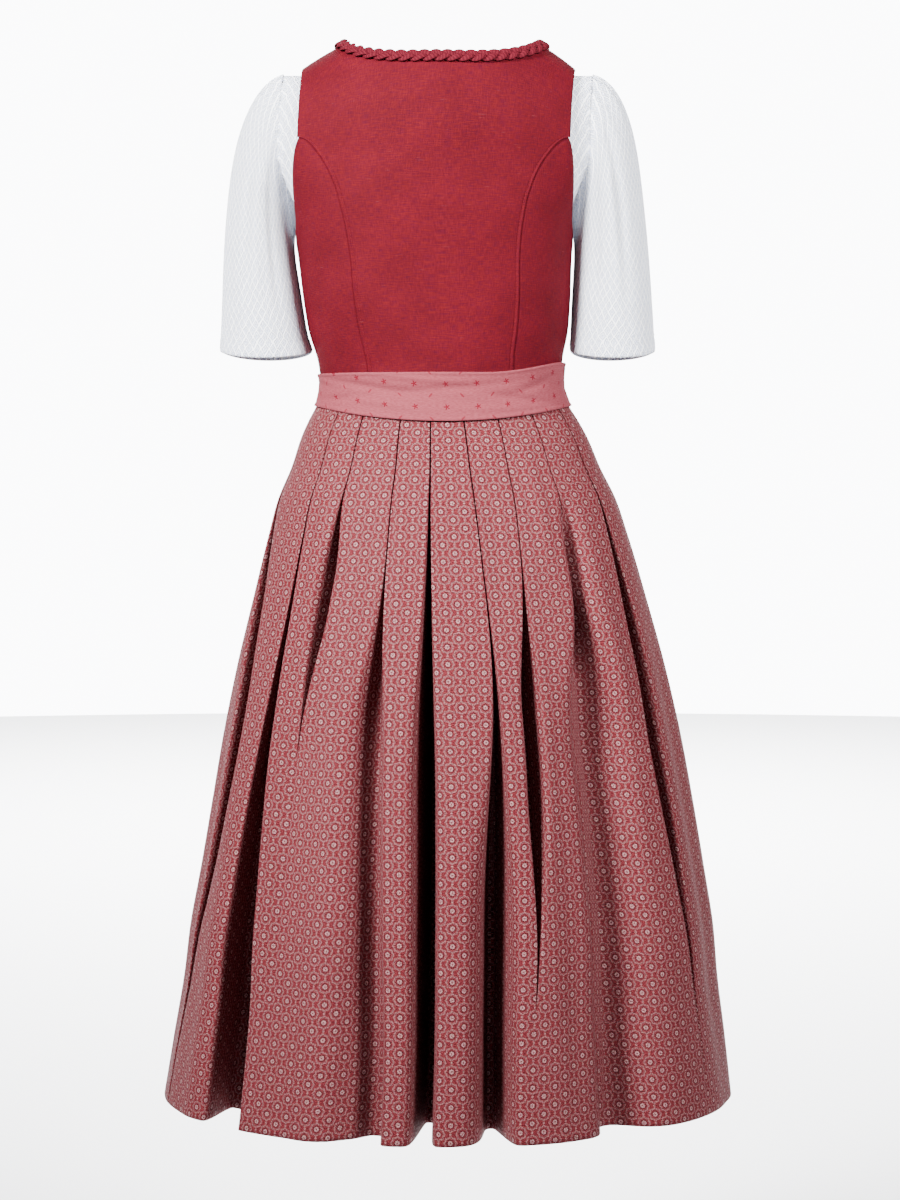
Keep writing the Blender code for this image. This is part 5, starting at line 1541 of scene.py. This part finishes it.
# %% Waistband and back tie
BAND = (
    Section(-0.396, 0.1512, 0.1099, 0.1148),
    Section(-0.373, 0.1385, 0.1034, 0.1075),
    Section(-0.352, 0.1324, 0.1017, 0.1057),
    Section(-0.325, 0.1350, 0.1023, 0.1084),
)
BAND_TOP_Z, BAND_LIFT, BAND_SAG, BAND_THICK = -0.339, 0.012, 0.0170, 0.0015
BAND_RIDGE, BAND_GROOVE, BAND_ROLL = 0.0004, 0.0004, 0.0006
LIFT_FROM, LIFT_TO, BAND_COLUMNS, BAND_ROWS = 20.0, 75.0, 181, 30
Trough = namedtuple("Trough", "angle part slope long high rise")
BAND_TROUGHS = (
    Trough(34, 0.66, 0.16, 30, 0.075, -0.0026),
    Trough(-2, 0.66, -0.08, 26, 0.070, -0.0024),
    Trough(-34, 0.40, 0.22, 20, 0.070, -0.0022),
    Trough(54, 0.34, -0.12, 20, 0.070, -0.0020),
    Trough(10, 0.86, 0.06, 18, 0.050, 0.0016),
    Trough(-52, 0.62, -0.12, 18, 0.065, -0.0022),
    Trough(72, 0.66, 0.08, 14, 0.060, -0.0018),
    Trough(-74, 0.50, 0.08, 14, 0.060, -0.0018),
    Trough(26, 0.30, 0.10, 22, 0.050, 0.0016),
    Trough(-20, 0.22, 0.06, 22, 0.050, 0.0014),
)

def band_edges(angle):
    """Top and bottom heights of the apron band. It rides up at the wearer's right."""
    right_side = ease(LIFT_FROM, LIFT_TO, -angle)
    cosine = np.cos(np.radians(angle))
    return BAND_TOP_Z + BAND_LIFT * right_side, BAND_LOW_Z - BAND_SAG * cosine**2

def on_band(angle, height, front, inset=0.0):
    half, depth = (one - inset for one in half_and_depth(BAND, height, front))
    sign = -1.0 if front else 1.0
    turned = np.radians(angle)
    return placed(half * np.sin(turned), sign * depth * np.cos(turned), height)

for name, front in (("apron_waistband", True), ("apron_tie_back", False)):
    angle = np.linspace(-SIDE_ANGLE, SIDE_ANGLE, BAND_COLUMNS)[None, :]
    part = dense(BAND_ROWS)[:, None]
    top, bottom = band_edges(angle)
    height = mix(bottom, top, part)
    rise = 0 * angle * part
    for one in BAND_TROUGHS:
        middle = one.part + one.slope * (angle - one.angle) / one.long
        rise = rise + one.rise * bump(angle, one.angle, one.long) * bump(part, middle, one.high)
    edge = np.minimum(part, 1 - part) * (top - bottom)
    rise = rise + seam_relief(edge, BAND_RIDGE, BAND_GROOVE, BAND_ROLL)
    points = on_band(np.broadcast_to(angle, height.shape), height, front, -rise)
    piece = cloth(f"{name}_cloth", points, APRON_COTTON, BAND_THICK * WALL_SHARE)
    sewn_in(piece, name)

# %% [markdown]
# ## Apron panel
# The panel is gathered into the band with many small pleats. They run together into ten
# soft waves further down, so the fine ones are a second wave that fades.

# %% Apron panel
APRON_ANGLE, APRON_PLEATS = 60.0, 10
APRON_CLEAR, APRON_CLEAR_HEM = 0.0042, 0.0100
APRON_WAVE_TOP, APRON_WAVE_HEM = 0.0016, 0.0090
APRON_THICK, GATHERS, GATHER_RISE = 0.0012, 34, 0.0012
PANEL_GAP, APRON_STITCH_PART = 0.0003, 0.968
GATHER_SWING, GATHER_RATE, GATHERS_FADE = 1.6, 0.31, (0.03, 0.30)
CLEAR_BY, WAVE_BY, APRON_COLUMNS, APRON_ROWS = 0.5, 0.8, 281, 90
HEM_POINTS, APRON_THREAD_LIFT = 400, 0.0001

def apron_stand(part):
    """How far the apron stands off the skirt's outline, and the height of its waves."""
    clear = mix(APRON_CLEAR, APRON_CLEAR_HEM, ease(0.0, CLEAR_BY, part))
    return clear, mix(APRON_WAVE_TOP, APRON_WAVE_HEM, ease(0.0, WAVE_BY, part))

def off_skirt(angle, height, stand):
    """Points in front of the skirt, this far off its outline."""
    x, y, out = skirt_outline(angle, height, True)
    return placed(x + stand * out[..., 0], -(y + stand * out[..., 1]), height)

def on_apron(angle, part):
    top = band_edges(angle)[1] - PANEL_GAP
    clear, wave = apron_stand(part)
    swing = (1 - np.cos(angle / APRON_ANGLE * math.pi * APRON_PLEATS)) / 2
    swayed = GATHER_SWING * np.sin(angle * GATHER_RATE)
    uneven = angle / APRON_ANGLE * math.pi * GATHERS + swayed
    fine = (1 + np.cos(uneven)) / 2 * GATHER_RISE * (1 - ease(*GATHERS_FADE, part))
    return off_skirt(angle, mix(top, APRON_HEM_Z, part), clear + wave * swing + fine)

across = np.linspace(-APRON_ANGLE, APRON_ANGLE, APRON_COLUMNS)
points = on_apron(*np.meshgrid(across, even(APRON_ROWS)))
piece = cloth("apron_panel_cloth", points, APRON_COTTON, APRON_THICK * WALL_SHARE)
sewn_in(piece, "apron_panel")
across = np.linspace(-APRON_ANGLE, APRON_ANGLE, HEM_POINTS)
hem = on_apron(across, np.full(HEM_POINTS, APRON_STITCH_PART))
outward = unit(hem * np.array([1, 1, 0]))
hem_line = (hem + outward * APRON_THREAD_LIFT, outward)
stitch_row("apron_hem_stitches", [hem_line], ROSE_THREAD)

# %% [markdown]
# ## The bow
# The ties end in a bow at the front, on the wearer's left. Its knot is a rounded block
# with creases that run into the loops, each loop is a strip that folds back on itself,
# and the two tails hang over the apron with slanted ends.

# %% Bow
BOW_ANGLE, BOW_Z = 24.0, -0.364
KNOT_SIZE, KNOT_SEAT = (0.026, 0.016, 0.034), 0.0030
LOOP_REACH, LOOP_WIDE, LOOP_DROOP, LOOP_NARROW = 0.074, 0.046, 0.010, 0.024
LOOP_PRESSED, LOOP_FULL, BAND_RADIUS = 0.0016, 0.0062, 0.1335
TAIL_WIDE, TAIL_LENGTH, TAIL_CLEAR, TAIL_RIPPLE = 0.044, 0.300, 0.0040, 0.0012
TAIL_START, TAIL_SLANT, TAIL_NARROW = 0.0096, 0.014, 0.42
TAIL_APART, TAIL_SPREAD, TIE_THICK = 0.0008, 0.010, 0.0012
LOOP_CREASE, LOOP_CREASES, TAIL_GATHER, TAIL_GATHERS = 0.0007, 22, 0.0006, 19
KNOT_GAP, KNOT_POWER, KNOT_CREASE = 0.0003, 0.55, 0.05
KNOT_CREASES = ((0.3, 0.2, 0.10), (-0.25, -0.15, 0.09))
KNOT_ROWS, KNOT_COLUMNS, LOOP_STEPS, TAIL_STEPS, ACROSS_STEPS = 41, 73, 72, 80, 25
LOOP_ROUND, LOOP_OPEN, LOOP_TURN, CREASE_FULL, CREASE_GONE = 0.8, 0.7, 1.2, 0.08, 0.45
TAIL_RIPPLES, TAIL_WIDE_BY, RESTS_BY, SLANT_FROM, TAIL_GATHERED = 9, 0.3, 0.2, 0.80, (0.05, 0.4)

def bow_knot():
    """A rounded block: a ball whose powers square it off, with creases across it."""
    up, turn = np.meshgrid(np.linspace(-90, 90, KNOT_ROWS), np.linspace(0, 360, KNOT_COLUMNS),
                           indexing="ij")
    up, turn = np.radians(up), np.radians(turn)

    def squared(value, power):
        return np.sign(value) * np.abs(value) ** power

    x = squared(np.cos(up), KNOT_POWER) * squared(np.cos(turn), KNOT_POWER)
    y = squared(np.cos(up), KNOT_POWER) * squared(np.sin(turn), KNOT_POWER)
    z = squared(np.sin(up), KNOT_POWER)
    crease = 1
    for middle, slope, half in KNOT_CREASES:
        crease = crease - KNOT_CREASE * bump(z, middle + slope * x, half)
    local = np.stack([x * KNOT_SIZE[0] / 2, y * crease * KNOT_SIZE[1] / 2,
                      z * KNOT_SIZE[2] / 2], axis=-1)
    local[:, -1] = local[:, 0]
    spot = on_band(np.array([BOW_ANGLE]), np.array([BOW_Z]), True,
                   -(KNOT_SIZE[1] / 2 + KNOT_SEAT))[0]
    wide, deep = half_and_depth(BAND, BOW_Z, True)
    turned = math.radians(BOW_ANGLE)
    facing = math.atan2(deep * math.sin(turned), wide * math.cos(turned))
    c, s = math.cos(facing), math.sin(facing)
    x, y = local[..., 0] * c - local[..., 1] * s, local[..., 0] * s + local[..., 1] * c
    points = spot + np.stack([x, y, local[..., 2]], axis=-1)
    piece = cloth("bow_knot_cloth", points, APRON_COTTON, 0.0, closed=True,
                  centre=lambda p: spot + 0 * p)
    stands_for(piece, "bow_knot")

def bow_loop(name, side):
    """A loop of the bow: out from the knot along the band, and back in front of itself."""
    way = even(LOOP_STEPS)[None, :]
    across = np.linspace(-0.5, 0.5, ACROSS_STEPS)[:, None]
    bulge = np.sin(math.pi * way)
    reach = KNOT_SIZE[0] / 2 + KNOT_GAP + LOOP_REACH * bulge**LOOP_ROUND
    middle = KNOT_SEAT + KNOT_SIZE[1] / 2
    near_knot = (1 - ease(0.0, CREASE_GONE, bulge)) * ease(0.0, CREASE_FULL, bulge)
    crease = LOOP_CREASE * near_knot * np.cos(across * LOOP_CREASES + LOOP_TURN * side)
    opened = bulge**LOOP_OPEN
    stand = middle - (LOOP_PRESSED + LOOP_FULL * opened) * np.cos(math.pi * way) + crease
    wide = mix(LOOP_NARROW, LOOP_WIDE, opened)
    height = BOW_Z - LOOP_DROOP * bulge**2 + across * wide
    angle = BOW_ANGLE + side * np.degrees(reach / BAND_RADIUS)
    angle, height, stand = np.broadcast_arrays(angle, height, stand)
    points = on_band(angle, np.maximum(height, BAND[0].height), True, -stand)
    points[..., 2] = height
    return cloth(name, points, APRON_COTTON, TIE_THICK, offset=0.0)

def bow_tail(name, side):
    """A free end of the tie, hanging over the apron."""
    way = even(TAIL_STEPS)[:, None]
    across = np.linspace(-0.5, 0.5, ACROSS_STEPS)[None, :]
    height = BOW_Z - KNOT_SIZE[2] / 2 - KNOT_GAP - TAIL_LENGTH * way
    wide = mix(KNOT_SIZE[0] * TAIL_NARROW, TAIL_WIDE, ease(0.0, TAIL_WIDE_BY, way))
    centre = side * (wide / 2 + mix(TAIL_APART, TAIL_SPREAD, ease(0.0, 0.5, way)))
    half = read(SKIRT, "half_width", height)
    slant = ease(SLANT_FROM, 1.0, way) * TAIL_SLANT * (across + 0.5) * side
    angle = BOW_ANGLE + np.degrees((centre + across * wide) / half)
    height = height + 0 * across + slant
    over_apron = sum(apron_stand((BAND_LOW_Z - height) / (BAND_LOW_Z - APRON_HEM_Z)))
    resting = over_apron + TAIL_CLEAR + TAIL_RIPPLE * np.sin(TAIL_RIPPLES * way + side)
    fade = 1 - ease(*TAIL_GATHERED, way)
    gathered = TAIL_GATHER * np.cos(across * TAIL_GATHERS + side) * fade
    stand = mix(TAIL_START, resting, ease(0.0, RESTS_BY, way)) + gathered
    return cloth(name, off_skirt(angle, height, stand), APRON_COTTON, TIE_THICK, offset=0.0)

bow_knot()
for side, hand in HANDS:
    loop = bow_loop(f"bow_loop_{hand}_cloth", side)
    sewn_in(loop, f"bow_loop_{hand}")
    tail = bow_tail(f"bow_end_{hand}_cloth", side)
    sewn_in(tail, f"bow_end_{hand}")
